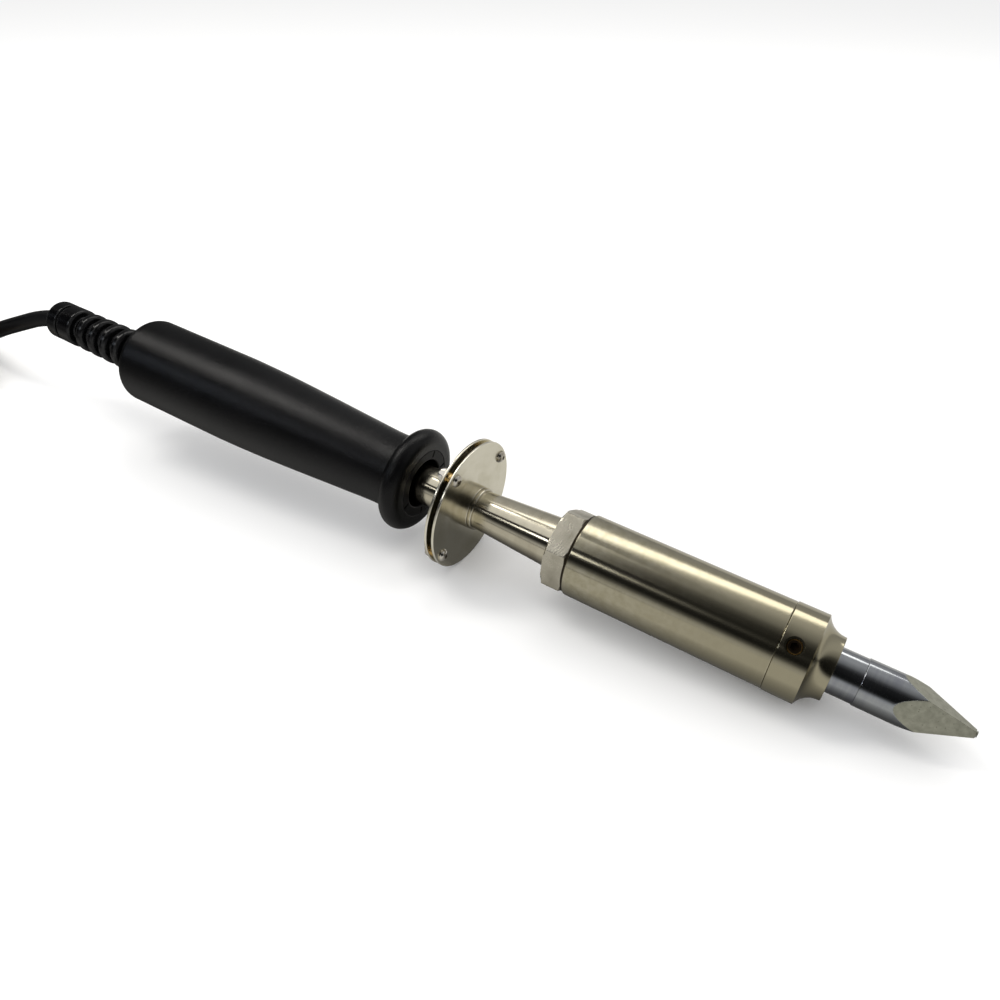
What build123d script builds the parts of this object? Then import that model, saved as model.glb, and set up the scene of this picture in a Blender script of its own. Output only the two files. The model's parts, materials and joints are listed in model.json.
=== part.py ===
from build123d import *

import math
import os

# A heavy plug-tip soldering iron, lying as it rests on a bench: on the rim of
# its round heat baffle and on the shoulder of its nose cap.
#
# Every piece of the iron is first made about its own axis: local X runs along
# the iron towards the tip, from the front face of the front baffle disc, and
# local Z is up. "Station" means a local X, in mm. resting() then tips the
# iron into its resting pose. The cord is made in the resting frame directly.

# ---- driving dimensions, in mm -------------------------------------------

# heat baffle
baffle_r = 25.0
baffle_thickness = 1.0
baffle_gap = 2.0
baffle_screw_circle_r = 21.8
baffle_screw_angles = [-31.0 + 90.0 * k for k in range(4)]

# tip
tip_shank_r = 7.67
tip_plated_r = 7.92
tip_rear = 76.6
tip_plating_start = 143.9
tip_facet_start = 153.0
tip_end = 178.2
tip_end_half_width = 0.95
tip_facet_slope = 0.294
tip_facet_angle = -67.5

# barrel and nose cap
barrel_r = 15.2
barrel_bore_r = 13.7
barrel_rear = 46.4
nose_start = 118.2
nose_r = 15.45
nose_shoulder = 128.8
nose_ring_r = 10.8
nose_front = 135.5
cove_r = 7.0

# hex nut behind the barrel
nut_rear = 37.4
nut_front = 45.4
nut_across_flats = 27.0
nut_angle = -28.6
spigot_front = 50.9

# stem tube, one swaged piece from the handle to the barrel
stem_r = 7.45
stem_bore_r = 6.2
stem_rear = -70.0
stem_flare_start = 5.0
stem_flare_end = 37.0
stem_flare_r = 9.45
stem_neck_r = 9.6
stem_front_bore_r = 7.8
stem_flange_r = 12.6
stem_flange_front = 53.0

# handle
handle_rear = -172.0
handle_r = 18.5
handle_waist_r = 14.55
handle_corner_r = 4.0
handle_bore_r = 12.4
handle_flange_station = -26.0
handle_flange_ring_r = 16.05
handle_flange_round = 4.3
bushing_seat_r = 13.4
bushing_depth = 6.5
bushing_bore_r = 9.7
# the slits in the bushing's face: the middle and the half angle of each pair
bushing_slit_pairs = [(56.5, 26.5), (-139.0, 31.5)]
bushing_slit_width = 0.75
bushing_slit_length = 2.7
bushing_slit_depth = 3.6
bushing_slit_r = 11.9

# strain relief and cord
relief_tail = -232.0
relief_tail_r = 8.7
relief_base_r = 9.4
cord_r = 3.8

# hank of put-away cord, in the resting frame
hank_centre = (-470.0, 1.0)
hank_half_run = 38.0
hank_outer_half_width = 31.6
hank_waist_pinch = 12.0
hank_height = 40.0
tie_width = 12.0
tie_thickness = 1.2

# plug, in the resting frame: the middle of the face that its blades stand on
plug_face = (-297.0, -25.0, 13.0)
plug_body_length = 38.0
plug_body_size = 26.0
plug_boot_length = 22.0

# fits
running_gap = 0.05
seat_gap = 0.02

# set screw
set_screw_station = 122.7
set_screw_angle = -40.0
set_screw_r = 2.5
set_screw_outer = 13.9

# ---- the resting pose -----------------------------------------------------

tilt = math.degrees(math.atan((baffle_r - nose_r) / nose_shoulder))
tilt_cos = math.cos(math.radians(tilt))
tilt_sin = math.sin(math.radians(tilt))
rest_height = baffle_r * tilt_cos
rear_reach = relief_tail * tilt_cos - relief_tail_r * tilt_sin
front_reach = tip_end * tilt_cos + tip_end_half_width * tilt_sin
# The row's origin is under the middle of the iron's length.
middle = (rear_reach + front_reach) / 2
parts = {}


def resting(shape):
    """Tip a piece made about the iron's own axis into the resting pose."""
    return Pos(-middle, 0, rest_height) * Rot(0, tilt, 0) * shape


def keep(name, shape, on_axis=True):
    """Place a piece, label it and keep it for writing."""
    placed = resting(shape) if on_axis else Pos(-middle, 0, 0) * shape
    placed.label = name
    parts[name] = placed
    return placed


def turned(*outline):
    """Revolve a closed outline of (station, radius) points about the axis."""
    return revolve(make_face(Polyline(*outline, close=True)), Axis.X)


def ring(rear, front, inner, outer):
    """A plain ring or tube between two stations."""
    return turned((rear, inner), (front, inner), (front, outer), (rear, outer))


def rod(rear, front, radius):
    """A plain round bar on the axis."""
    return Pos(rear, 0, 0) * Rot(0, 90, 0) * Cylinder(
        radius, front - rear, align=(Align.CENTER, Align.CENTER, Align.MIN)
    )


def around(angle, shape):
    """Turn a piece made above the axis to an angle about it (0 up, 90 to +Y)."""
    return Rot(-angle, 0, 0) * shape


def radial_rod(station, radius, inner, outer):
    """A round bar that stands up from the axis, between two distances."""
    return Pos(station, 0, inner) * Cylinder(
        radius, outer - inner, align=(Align.CENTER, Align.CENTER, Align.MIN)
    )


def socket_hex(across_flats, depth):
    """The tool that cuts a hexagon socket, its mouth at Z 0 and going down."""
    hexagon = RegularPolygon(across_flats / 2, 6, major_radius=False)
    return extrude(hexagon, -depth)


# ---- handle ---------------------------------------------------------------


def make_handle():
    """The moulded handle: a straight grip, a long waist and a rolled flange."""
    grip_front = -118.0
    waist_front = -31.8
    flange_rear = handle_flange_station - handle_flange_round
    flange_front = handle_flange_station + handle_flange_round
    flange_top = handle_flange_ring_r + handle_flange_round
    corner = Polyline((handle_rear, 7.6), (handle_rear, handle_r - handle_corner_r))
    rear_round = RadiusArc(
        (handle_rear, handle_r - handle_corner_r),
        (handle_rear + handle_corner_r, handle_r),
        handle_corner_r,
    )
    grip = Line((handle_rear + handle_corner_r, handle_r), (grip_front, handle_r))
    waist = Spline(
        (grip_front, handle_r),
        (-99.0, 17.95),
        (-75.0, 16.7),
        (-52.0, 15.3),
        (waist_front - 5.0, handle_waist_r),
        tangents=[(1, 0), (1, 0)],
    )
    neck = Line((waist_front - 5.0, handle_waist_r), (waist_front, handle_waist_r))
    fillet_arc = RadiusArc(
        (waist_front, handle_waist_r), (flange_rear, handle_flange_ring_r), -1.5
    )
    roll_rear = RadiusArc(
        (flange_rear, handle_flange_ring_r),
        (handle_flange_station, flange_top),
        handle_flange_round,
    )
    roll_front = RadiusArc(
        (handle_flange_station, flange_top),
        (flange_front, handle_flange_ring_r),
        handle_flange_round,
    )
    inside = Polyline(
        (flange_front, handle_flange_ring_r),
        (flange_front, bushing_seat_r),
        (flange_front - bushing_depth, bushing_seat_r),
        (flange_front - bushing_depth, handle_bore_r),
        (handle_rear + 10.0, handle_bore_r),
        (handle_rear + 10.0, 7.6),
        (handle_rear, 7.6),
    )
    outline = [corner, rear_round, grip, waist, neck, fillet_arc, roll_rear, roll_front, inside]
    shell = revolve(make_face(Curve() + outline), Axis.X)
    # the recess and hole of the one screw that holds the stem, underneath
    screw_way = radial_rod(-66.0, 1.85, 10.0, 20.0) + radial_rod(-66.0, 3.3, 14.4, 20.0)
    return keep("handle_shell", shell - around(180, screw_way))


def make_front_bushing():
    """The ring in the handle's mouth, slit at both ends of its two tabs."""
    front = handle_flange_station + handle_flange_round
    body = ring(front - bushing_depth, front, bushing_bore_r, bushing_seat_r - seat_gap)
    slit = Pos(front, 0, bushing_slit_r) * Box(
        2 * bushing_slit_depth, bushing_slit_width, bushing_slit_length
    )
    for middle_angle, half in bushing_slit_pairs:
        for side in (-half, half):
            body -= around(middle_angle + side, slit)
    return keep("front_bushing", body)


def make_stem_bushings():
    """Two phenolic rings that centre the stem inside the handle."""
    keep("stem_bushing_front", ring(-44.0, -36.0, stem_r + seat_gap, handle_bore_r - seat_gap))
    rear = ring(stem_rear, -62.0, stem_r + seat_gap, handle_bore_r - seat_gap)
    keep("stem_bushing_rear", rear - around(180, radial_rod(-66.0, 1.75, 7.0, 14.0)))


def make_handle_screw():
    """The screw that holds the rear stem bushing in the handle."""
    screw = radial_rod(-66.0, 1.7, 8.2, 14.5) + radial_rod(-66.0, 3.0, 14.5, 15.9)
    slot = Pos(-66.0, 0, 15.6) * Box(7.0, 0.8, 1.0)
    keep("handle_screw", around(180, screw - slot))


# ---- stem, baffle and nut -------------------------------------------------


def make_stem():
    """The swaged stem tube with its flared front and clamping flange."""
    keep(
        "stem_tube",
        turned(
            (stem_rear, stem_bore_r),
            (stem_flare_start, stem_bore_r),
            (stem_flare_end, stem_front_bore_r),
            (stem_flange_front, stem_front_bore_r),
            (stem_flange_front, stem_flange_r),
            (spigot_front + seat_gap, stem_flange_r),
            (spigot_front + seat_gap, stem_neck_r),
            (stem_flare_end, stem_neck_r),
            (stem_flare_end, stem_flare_r),
            (stem_flare_start, stem_r),
            (stem_rear, stem_r),
        ),
    )


def make_baffle():
    """Two thin discs held apart by spacers, with screws, nuts and collars."""
    rear_disc_front = -baffle_thickness - baffle_gap
    stack_rear = rear_disc_front - baffle_thickness
    hole = Pos(0, 0, baffle_screw_circle_r) * Rot(0, 90, 0) * Cylinder(1.3, 20)
    front = ring(-baffle_thickness, 0, stem_r + seat_gap, baffle_r)
    rear = ring(stack_rear, rear_disc_front, stem_r + seat_gap, baffle_r)
    for angle in baffle_screw_angles:
        front -= around(angle, hole)
        rear -= around(angle, hole)
    keep("baffle_front_disc", front)
    keep("baffle_rear_disc", rear)

    up = Pos(0, 0, baffle_screw_circle_r)
    spacer = up * ring(rear_disc_front, -baffle_thickness, 1.3, 2.0)
    shank = up * rod(stack_rear - 3.4, 0.0, 1.25)
    crown = ThreePointArc((0.4, 2.4), (1.15, 1.5), (1.6, 0.0))
    flat = Polyline((1.6, 0.0), (0.0, 0.0), (0.0, 2.4), (0.4, 2.4))
    dome = up * revolve(make_face(Curve() + [crown, flat]), Axis.X)
    socket = Pos(1.7, 0, baffle_screw_circle_r) * Rot(0, 90, 0) * socket_hex(1.5, 1.0)
    hexagon = RegularPolygon(2.4, 6, major_radius=False)
    nut = extrude(Rot(0, 90, 0) * hexagon, 2.2)
    nut = up * (Pos(stack_rear - 2.2, 0, 0) * nut - rod(stack_rear - 3, stack_rear, 1.3))
    groups = {
        "baffle_spacers": spacer,
        "baffle_screws": shank + dome - socket,
        "baffle_nuts": nut,
    }
    for name, piece in groups.items():
        keep(name, Compound([around(angle, piece).solid() for angle in baffle_screw_angles]))

    keep(
        "front_collar",
        turned(
            (0, stem_r + seat_gap),
            (4.6, stem_r + seat_gap),
            (4.6, 8.0),
            (4.2, 8.35),
            (0, 8.35),
        ),
    )
    keep(
        "rear_collar",
        turned(
            (stack_rear - 4.0, stem_r + seat_gap),
            (stack_rear, stem_r + seat_gap),
            (stack_rear, 9.6),
            (stack_rear - 3.4, 9.6),
            (stack_rear - 4.0, 9.0),
        ),
    )


def make_nut():
    """The hex nut that draws the stem's flange into the barrel, and its washer."""
    hexagon = RegularPolygon(nut_across_flats / 2, 6, major_radius=False)
    corner_r = nut_across_flats / 2 / math.cos(math.radians(30))
    blank = Pos(nut_rear, 0, 0) * Rot(0, 90, 0) * Rot(0, 0, 90) * extrude(hexagon, nut_front - nut_rear)
    chamfered = turned(
        (nut_rear, 0),
        (nut_front, 0),
        (nut_front, corner_r - 0.9),
        (nut_front - 0.6, corner_r + 0.1),
        (nut_rear + 0.9, corner_r + 0.1),
        (nut_rear, corner_r - 1.6),
    )
    nut = (around(nut_angle, blank) & chamfered) + rod(
        nut_front, spigot_front, barrel_bore_r - 2 * running_gap
    )
    bore = rod(nut_rear - 1, spigot_front + 1, stem_neck_r + running_gap)
    keep("hex_nut", nut - bore)
    keep(
        "nut_washer",
        ring(nut_front + running_gap, barrel_rear - running_gap, barrel_bore_r, barrel_r - 0.6),
    )


# ---- heated end -----------------------------------------------------------


def make_barrel():
    """The barrel casing, with the inner shoulder that the flange seats on."""
    keep(
        "barrel_casing",
        turned(
            (barrel_rear, barrel_bore_r),
            (stem_flange_front + seat_gap, barrel_bore_r),
            (stem_flange_front + seat_gap, 11.9),
            (55.6, 11.9),
            (55.6, barrel_bore_r),
            (nose_start, barrel_bore_r),
            (nose_start, barrel_r),
            (barrel_rear, barrel_r),
        ),
    )


def make_nose_cap():
    """The turned nose cap: a plain band, a cove and a front ring."""
    cove_centre_r = nose_ring_r + cove_r
    cove_start = nose_front - 0.3 - math.sqrt(cove_r**2 - (cove_centre_r - nose_r) ** 2)
    bore_r = tip_shank_r + 0.08
    back = Polyline(
        (cove_start, nose_r),
        (nose_shoulder, nose_r),
        (nose_start, nose_r),
        (nose_start, barrel_bore_r - seat_gap),
        (110.0, barrel_bore_r - seat_gap),
        (110.0, 12.0),
        (118.0, 12.0),
        (118.0, bore_r),
        (nose_front, bore_r),
        (nose_front, nose_ring_r),
        (nose_front - 0.3, nose_ring_r),
    )
    cove = RadiusArc((nose_front - 0.3, nose_ring_r), (cove_start, nose_r), cove_r)
    cap = revolve(make_face(Curve() + [back, cove]), Axis.X)
    screw_way = radial_rod(set_screw_station, set_screw_r + running_gap, 5.0, 20.0)
    screw_way += radial_rod(set_screw_station, 3.1, 13.7, 20.0)
    keep("nose_cap", cap - around(set_screw_angle, screw_way))
    return cove_start


def make_set_screw():
    """The hexagon-socket screw that holds the tip."""
    screw = radial_rod(set_screw_station, set_screw_r, tip_shank_r + 0.1, set_screw_outer)
    socket = Pos(set_screw_station, 0, set_screw_outer) * socket_hex(2.5, 2.6)
    keep("set_screw", around(set_screw_angle, screw - socket))


def make_tip():
    """The copper plug tip: plain shank, plated working end, four-sided point."""
    shank = turned(
        (tip_rear, 0),
        (tip_facet_start, 0),
        (tip_facet_start, tip_plated_r),
        (tip_plating_start, tip_plated_r),
        (tip_plating_start, tip_shank_r),
        (tip_rear + 0.8, tip_shank_r),
        (tip_rear, tip_shank_r - 0.8),
    )
    half_at_start = tip_end_half_width + tip_facet_slope * (tip_end - tip_facet_start)
    wide = Pos(tip_facet_start, 0, 0) * Rot(0, 90, 0) * Rectangle(2 * half_at_start, 2 * half_at_start)
    narrow = Pos(tip_end, 0, 0) * Rot(0, 90, 0) * Rectangle(2 * tip_end_half_width, 2 * tip_end_half_width)
    pyramid = loft([wide, narrow])
    point = around(tip_facet_angle, pyramid) & rod(tip_facet_start, tip_end, tip_plated_r)
    keep("soldering_tip", shank + point)


def make_heater():
    """The element: core, mica sleeves, wound ribbon and rear insulator."""
    keep(
        "heater_core",
        turned(
            (60.4, 6.5),
            (70.0, 6.5),
            (70.0, 0),
            (tip_rear - 0.2, 0),
            (tip_rear - 0.2, tip_shank_r + running_gap),
            (117.9, tip_shank_r + running_gap),
            (117.9, 9.1),
            (60.4, 9.1),
        ),
    )
    keep("inner_mica_sleeve", ring(62.0, 116.0, 9.12, 9.75))
    keep("outer_mica_sleeve", ring(62.0, 116.0, 10.85, 11.5))
    turns, first, last = 12, 67.0, 112.0
    pitch = (last - first) / turns
    comb = [(first, 9.8), (last, 9.8)]
    for k in reversed(range(turns)):
        start = first + k * pitch
        comb += [(start + 0.7 * pitch, 10.75), (start, 10.75), (start, 10.0)]
        if k:
            comb += [(start - 0.3 * pitch, 10.0)]
    comb[2] = (last, 10.75)
    keep("heater_winding", turned(*comb))
    keep("rear_insulator", make_insulator())


def make_insulator():
    """The ceramic disc behind the element, with its two lead holes."""
    disc = ring(55.7, 60.2, 2.0, barrel_bore_r - seat_gap)
    for angle in (0.0, 120.0):
        disc -= around(angle, Pos(0, 0, 10.3) * rod(50.0, 65.0, 0.75))
    return disc


# ---- wiring ---------------------------------------------------------------


def wire(points, radius, bend):
    """A wire through (station, height) points above the axis, filleted."""
    path = FilletPolyline(*[(x, 0, z) for x, z in points], radius=bend)
    section = Plane(origin=path @ 0, z_dir=path % 0) * Circle(radius)
    return sweep(section, path)


def make_wiring():
    """Element leads, sleeves, terminal block, and the cord's cores."""
    lead_route = [(66.9, 10.3), (54.35, 10.3), (54.35, 4.0), (-74.0, 4.0), (-82.0, 6.2), (-90.0, 6.2)]
    lead = wire(lead_route, 0.5, 1.1)
    sleeve = Pos(0, 0, 4.0) * ring(-72.0, 52.0, 0.55, 1.4)
    keep("element_leads", Compound([around(angle, lead).solid() for angle in (0, 120)]))
    keep("lead_sleeves", Compound([around(angle, sleeve).solid() for angle in (0, 120)]))

    ground_route = [(-70.0, 9.6), (-76.0, 9.6), (-82.0, 6.2), (-90.0, 6.2)]
    keep("ground_lead", around(240, wire(ground_route, 0.7, 1.5)))

    block = rod(-104.0, -86.0, 11.6)
    barrel = Pos(0, 0, 6.2) * ring(-102.5, -87.5, 1.6, 2.5)
    terminals = []
    screws = []
    for angle in (0, 120, 240):
        block -= around(angle, Pos(0, 0, 6.2) * rod(-105.0, -85.0, 2.5))
        drilled = barrel
        for station in (-91.0, -99.0):
            block -= around(angle, radial_rod(station, 1.3, 6.2, 13.0))
            drilled -= radial_rod(station, 1.3, 6.2, 13.0)
            screws += [around(angle, radial_rod(station, 1.25, 7.5, 10.9)).solid()]
        terminals += [around(angle, drilled).solid()]
    keep("terminal_block", block)
    keep("terminal_barrels", Compound(terminals))
    keep("terminal_screws", Compound(screws))

    core_route = [(-130.0, 1.7), (-123.0, 1.7), (-110.0, 6.2), (-96.0, 6.2)]
    cores = [around(angle, wire(core_route, 1.1, 4.0)).solid() for angle in (0, 120, 240)]
    keep("cord_cores", Compound(cores))
    keep("cord_jacket_end", rod(relief_tail, -130.0, cord_r))
    clamp = ring(-146.0, -138.0, cord_r + seat_gap, 8.5)
    keep("cord_clamp", clamp - Pos(-142.0, 0, 8.0) * Box(10.0, 1.2, 8.0))


def make_strain_relief():
    """The moulded relief: an inner flange, a base, five ribs and a tail cap."""
    groove_r = 6.5
    bore_r = cord_r + seat_gap
    outline = [
        (relief_tail, bore_r),
        (relief_tail, relief_tail_r - 1.2),
        (relief_tail + 1.2, relief_tail_r),
        (-225.4, relief_tail_r),
        (-225.0, relief_tail_r - 0.7),
        (-224.0, relief_tail_r - 0.7),
        (-223.6, relief_tail_r),
        (-216.6, relief_tail_r + 0.1),
        (-215.6, relief_tail_r - 0.8),
        (-215.4, groove_r),
    ]
    rib_pitch, rib_half = 7.9, 2.3
    for k in range(5):
        centre = -209.2 + k * rib_pitch
        top = relief_tail_r + 0.1 + 0.14 * k
        outline += [
            (centre - rib_half, groove_r),
            (centre - rib_half + 0.3, top - 1.0),
            (centre - 1.0, top),
            (centre + 1.0, top),
            (centre + rib_half - 0.3, top - 1.0),
            (centre + rib_half, groove_r),
        ]
    outline += [
        (handle_rear - 0.2, groove_r + 0.5),
        (handle_rear - 0.2, 7.5),
        (handle_rear + 10.0 + seat_gap, 7.5),
        (handle_rear + 10.0 + seat_gap, 11.0),
        (handle_rear + 13.0, 11.0),
        (handle_rear + 13.0, bore_r),
    ]
    keep("strain_relief", turned(*outline))


# ---- cord, hank and plug, in the resting frame ----------------------------

# The free cord's route, from the relief's mouth down to the bench and along it
# to the hank. X is measured from the baffle, as the stations are.
cord_route = [
    (relief_tail * tilt_cos, 0.0, rest_height - relief_tail * tilt_sin),
    (-244.5, -0.8, 40.0),
    (-262.0, -2.9, 33.4),
    (-281.0, -4.5, 26.0),
    (-301.0, -4.2, 16.5),
    (-322.0, 1.0, 8.2),
    (-345.0, 9.2, 4.2),
    (-370.0, 17.8, 3.8),
    (-400.0, 25.6, 3.8),
    (-432.0, 28.6, 3.8),
]

# The cord's last stretch, from the top of the hank down to the plug's boot.
cord_tail_route = [
    (-424.0, -25.6, 36.1),
    (-407.0, -25.4, 35.6),
    (-391.0, -25.2, 29.4),
    (-375.0, -25.0, 18.4),
    (-359.0, -25.0, 13.0),
    (-342.0, -25.0, 12.9),
]


def bend_radii(points):
    """Each corner's radius: as large as its two runs allow."""
    radii = []
    for before, at, after in zip(points, points[1:], points[2:]):
        come = Vector(*at) - Vector(*before)
        go = Vector(*after) - Vector(*at)
        half_turn = math.radians(come.get_angle(go)) / 2
        radii.append(0.45 * min(come.length, go.length) / math.tan(half_turn))
    return radii


def cord_tube(name, points):
    """A length of cord: straight runs joined by arcs as large as they allow."""
    radii = bend_radii(points)
    path = FilletPolyline(*points, radius=radii)
    tube = sweep(Plane(origin=path @ 0, z_dir=path % 0) * Circle(cord_r), path)
    ratio = tube.volume / (math.pi * cord_r**2 * path.length)
    print(name, "bend radii, mm:", [round(r, 1) for r in radii])
    print(name, "length, mm:", round(path.length, 1), "volume over section x length:", round(ratio, 5))
    return tube


def make_hank_and_cord():
    """The tied hank, its tie, and the tubes of cord that run in and out of it."""
    half_run, wide = hank_half_run, hank_outer_half_width
    waist = wide - hank_waist_pinch
    centre = Pos(hank_centre[0], hank_centre[1], 0)
    plan = Polygon(
        (half_run, wide), (0, waist), (-half_run, wide), (-half_run, -wide), (0, -waist),
        (half_run, -wide), align=None,
    )
    plan += Pos(half_run, 0) * Circle(wide) + Pos(-half_run, 0) * Circle(wide)
    slab = extrude(plan, hank_height)
    groove = Box(tie_width + 0.4, 2 * wide, tie_thickness, align=(Align.CENTER, Align.CENTER, Align.MIN))
    slab -= groove
    keep("cord_hank", centre * slab, on_axis=False)

    inner_half = waist + 3.4
    inside = Pos(0, 0, tie_thickness) * Box(
        tie_width + 1, 2 * inner_half, hank_height - tie_thickness + 0.05,
        align=(Align.CENTER, Align.CENTER, Align.MIN),
    )
    band = Box(
        tie_width, 2 * (inner_half + tie_thickness), hank_height + tie_thickness + 0.05,
        align=(Align.CENTER, Align.CENTER, Align.MIN),
    )
    band = fillet(band.edges().filter_by(Axis.X), 1.1)
    keep("cord_tie", centre * (band - inside), on_axis=False)

    lead_in = cord_tube("cord to the hank,", cord_route) - centre * slab
    tail = cord_tube("cord to the plug,", cord_tail_route) - centre * slab - make_plug()
    keep("power_cord", Compound([lead_in.solid(), tail.solid()]), on_axis=False)


def make_plug():
    """A moulded three-pin plug lying on its side of the cord, with its boot."""
    place = Pos(*plug_face)
    body = Pos(-plug_body_length / 2, 0, 0) * Box(plug_body_length, plug_body_size, plug_body_size)
    body = fillet(body.edges().filter_by(Axis.X), 9.0)
    body = chamfer(body.faces().sort_by(Axis.X)[0].edges(), 4.0)
    boot = Pos(-plug_body_length - plug_boot_length, 0, 0) * Rot(0, 90, 0) * Cone(
        5.0, 7.0, plug_boot_length, align=(Align.CENTER, Align.CENTER, Align.MIN)
    )
    moulding = place * (body + boot)
    keep("plug_body", moulding, on_axis=False)
    blades = [
        (place * Pos(8.5, side * 6.35, 3.0) * Box(17.0, 1.5, 6.3)).solid() for side in (-1, 1)
    ]
    keep("plug_blades", Compound(blades), on_axis=False)
    pin = Rot(0, 90, 0) * Cylinder(2.4, 20.0, align=(Align.CENTER, Align.CENTER, Align.MIN))
    pin = fillet(pin.faces().sort_by(Axis.X)[-1].edges(), 2.0)
    keep("plug_ground_pin", place * Pos(0, 0, -8.5) * pin, on_axis=False)
    return moulding


make_handle()
make_front_bushing()
make_stem_bushings()
make_handle_screw()
make_stem()
make_baffle()
make_nut()
make_barrel()
cove_start = make_nose_cap()
make_set_screw()
make_tip()
make_heater()
make_wiring()
make_strain_relief()
make_hank_and_cord()

os.makedirs("parts", exist_ok=True)
for name, shape in parts.items():
    export_step(shape, f"parts/{name}.step")
print("tilt, degrees:", round(tilt, 4), "rest height:", round(rest_height, 3))
print("middle of the iron's length, station:", round(middle, 4), "cove starts at", round(cove_start, 3))
print(len(parts), "nodes written")
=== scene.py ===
"""A heavy plug-tip soldering iron resting on a bench, with its cord tied in a hank.

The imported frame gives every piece's place. The pieces of the iron itself are made
about its own axis: local X is the station along the iron, from the front face of the
front baffle disc towards the tip, and angles about the axis run from up (0) towards
the far side (90). Sizes in this file are in millimetres and degrees, and meshes are
written in metres.
"""

import json
import logging
import math
from collections.abc import Callable, Iterable, Sequence
from dataclasses import dataclass
from enum import Enum

import bmesh
import bpy
import numpy as np
from mathutils import Matrix, Vector


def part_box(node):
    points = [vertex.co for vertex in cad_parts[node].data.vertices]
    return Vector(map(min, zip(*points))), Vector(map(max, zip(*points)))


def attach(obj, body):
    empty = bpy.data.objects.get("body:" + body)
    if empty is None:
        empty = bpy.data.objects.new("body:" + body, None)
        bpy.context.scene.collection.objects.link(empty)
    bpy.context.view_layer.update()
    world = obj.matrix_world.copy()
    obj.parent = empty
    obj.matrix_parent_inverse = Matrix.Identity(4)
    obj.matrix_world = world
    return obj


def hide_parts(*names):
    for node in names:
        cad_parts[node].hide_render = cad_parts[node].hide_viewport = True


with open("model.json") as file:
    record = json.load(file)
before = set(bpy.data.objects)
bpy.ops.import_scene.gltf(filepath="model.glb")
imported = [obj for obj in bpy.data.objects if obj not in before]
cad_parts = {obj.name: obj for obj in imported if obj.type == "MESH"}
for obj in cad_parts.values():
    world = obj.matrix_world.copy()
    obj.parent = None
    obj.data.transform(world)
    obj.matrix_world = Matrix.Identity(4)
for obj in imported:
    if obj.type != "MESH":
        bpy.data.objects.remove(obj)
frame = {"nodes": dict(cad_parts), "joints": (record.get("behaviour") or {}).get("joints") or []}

log = logging.getLogger("iron")
MM = 0.001
Point = tuple[float, ...]
Colour = tuple[float, float, float]
Socket = bpy.types.NodeSocket
Shape = Callable[[np.ndarray, np.ndarray], np.ndarray]


# ---- the iron's own axis ----------------------------------------------------------


@dataclass(frozen=True)
class Extent:
    """How far a piece reaches about the iron's axis, in millimetres."""

    rear: float
    front: float
    inner: float
    outer: float


class IronAxis:
    """The iron's axis, read from the frame: its placing matrix and each node's extent."""

    def __init__(self) -> None:
        """Find the axis from the tip's slide and the front baffle disc."""
        slide = next(j for j in frame["joints"] if j["name"] == "tip_slide")
        along = Vector(slide["axis"]).normalized()
        side = Vector((0, 1, 0))
        turn = Matrix((along, side, along.cross(side))).transposed()
        self.matrix = turn.to_4x4()
        disc = self._points("baffle_front_disc")
        low, high = disc.min(0), disc.max(0)
        datum = turn @ Vector((high[0], (low[1] + high[1]) / 2, (low[2] + high[2]) / 2))
        self.matrix = Matrix.Translation(datum) @ self.matrix
        self.datum = datum

    def _points(self, node: str) -> np.ndarray:
        """Read a node's vertices in the axis' frame.

        Args:
            node: A CAD node's name.

        Returns:
            Rows of X, Y and Z, in metres.
        """
        mesh = frame["nodes"][node].data
        points = np.empty(len(mesh.vertices) * 3)
        mesh.vertices.foreach_get("co", points)
        inverse = np.array(self.matrix.inverted())
        return points.reshape(-1, 3) @ inverse[:3, :3].T + inverse[:3, 3]

    def extent(self, node: str) -> Extent:
        """How far a node reaches along and about the axis.

        Args:
            node: A CAD node's name.

        Returns:
            Its stations and radii.
        """
        points = self._points(node) / MM
        radii = np.hypot(points[:, 1], points[:, 2])
        return Extent(points[:, 0].min(), points[:, 0].max(), radii.min(), radii.max())


AXIS = IronAxis()


# ---- outlines ---------------------------------------------------------------------


def rounded(corners: Sequence[Point], steps: int = 5, guard: float = 0.2) -> np.ndarray:
    """Round the corners of a closed outline.

    Args:
        corners: (station, radius) or (station, radius, fillet) points.
        steps: Faces across each fillet.
        guard: Distance of the extra points that keep a fillet's shading to itself.

    Returns:
        Rows of station, radius and edge, where edge is 1 on a fillet.
    """
    line: list[Point] = []
    for index, corner in enumerate(corners):
        at = Vector(corner[:2])
        come = at - Vector(corners[index - 1][:2])
        go = Vector(corners[(index + 1) % len(corners)][:2]) - at
        turn = math.atan2(come.x * go.y - come.y * go.x, come.dot(go))
        if len(corner) < 3 or abs(turn) < 0.01:
            line.append((at.x, at.y, 0.0))
            continue
        slope = math.tan(abs(turn) / 2)
        room = 0.49 * min(come.length, go.length)
        reach = min(corner[2] * slope, room)
        come.normalize()
        go.normalize()
        centre = at + (go - come).normalized() * math.hypot(reach, reach / slope)
        spoke = at - come * reach - centre
        if room > reach + guard:
            line.append((*(at - come * (reach + guard)), 0.0))
        for step in range(steps + 1):
            swing = turn * step / steps
            x = spoke.x * math.cos(swing) - spoke.y * math.sin(swing)
            y = spoke.x * math.sin(swing) + spoke.y * math.cos(swing)
            line.append((centre.x + x, centre.y + y, 1.0))
        if room > reach + guard:
            line.append((*(at + go * (reach + guard)), 0.0))
    return np.array(line)


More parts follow.
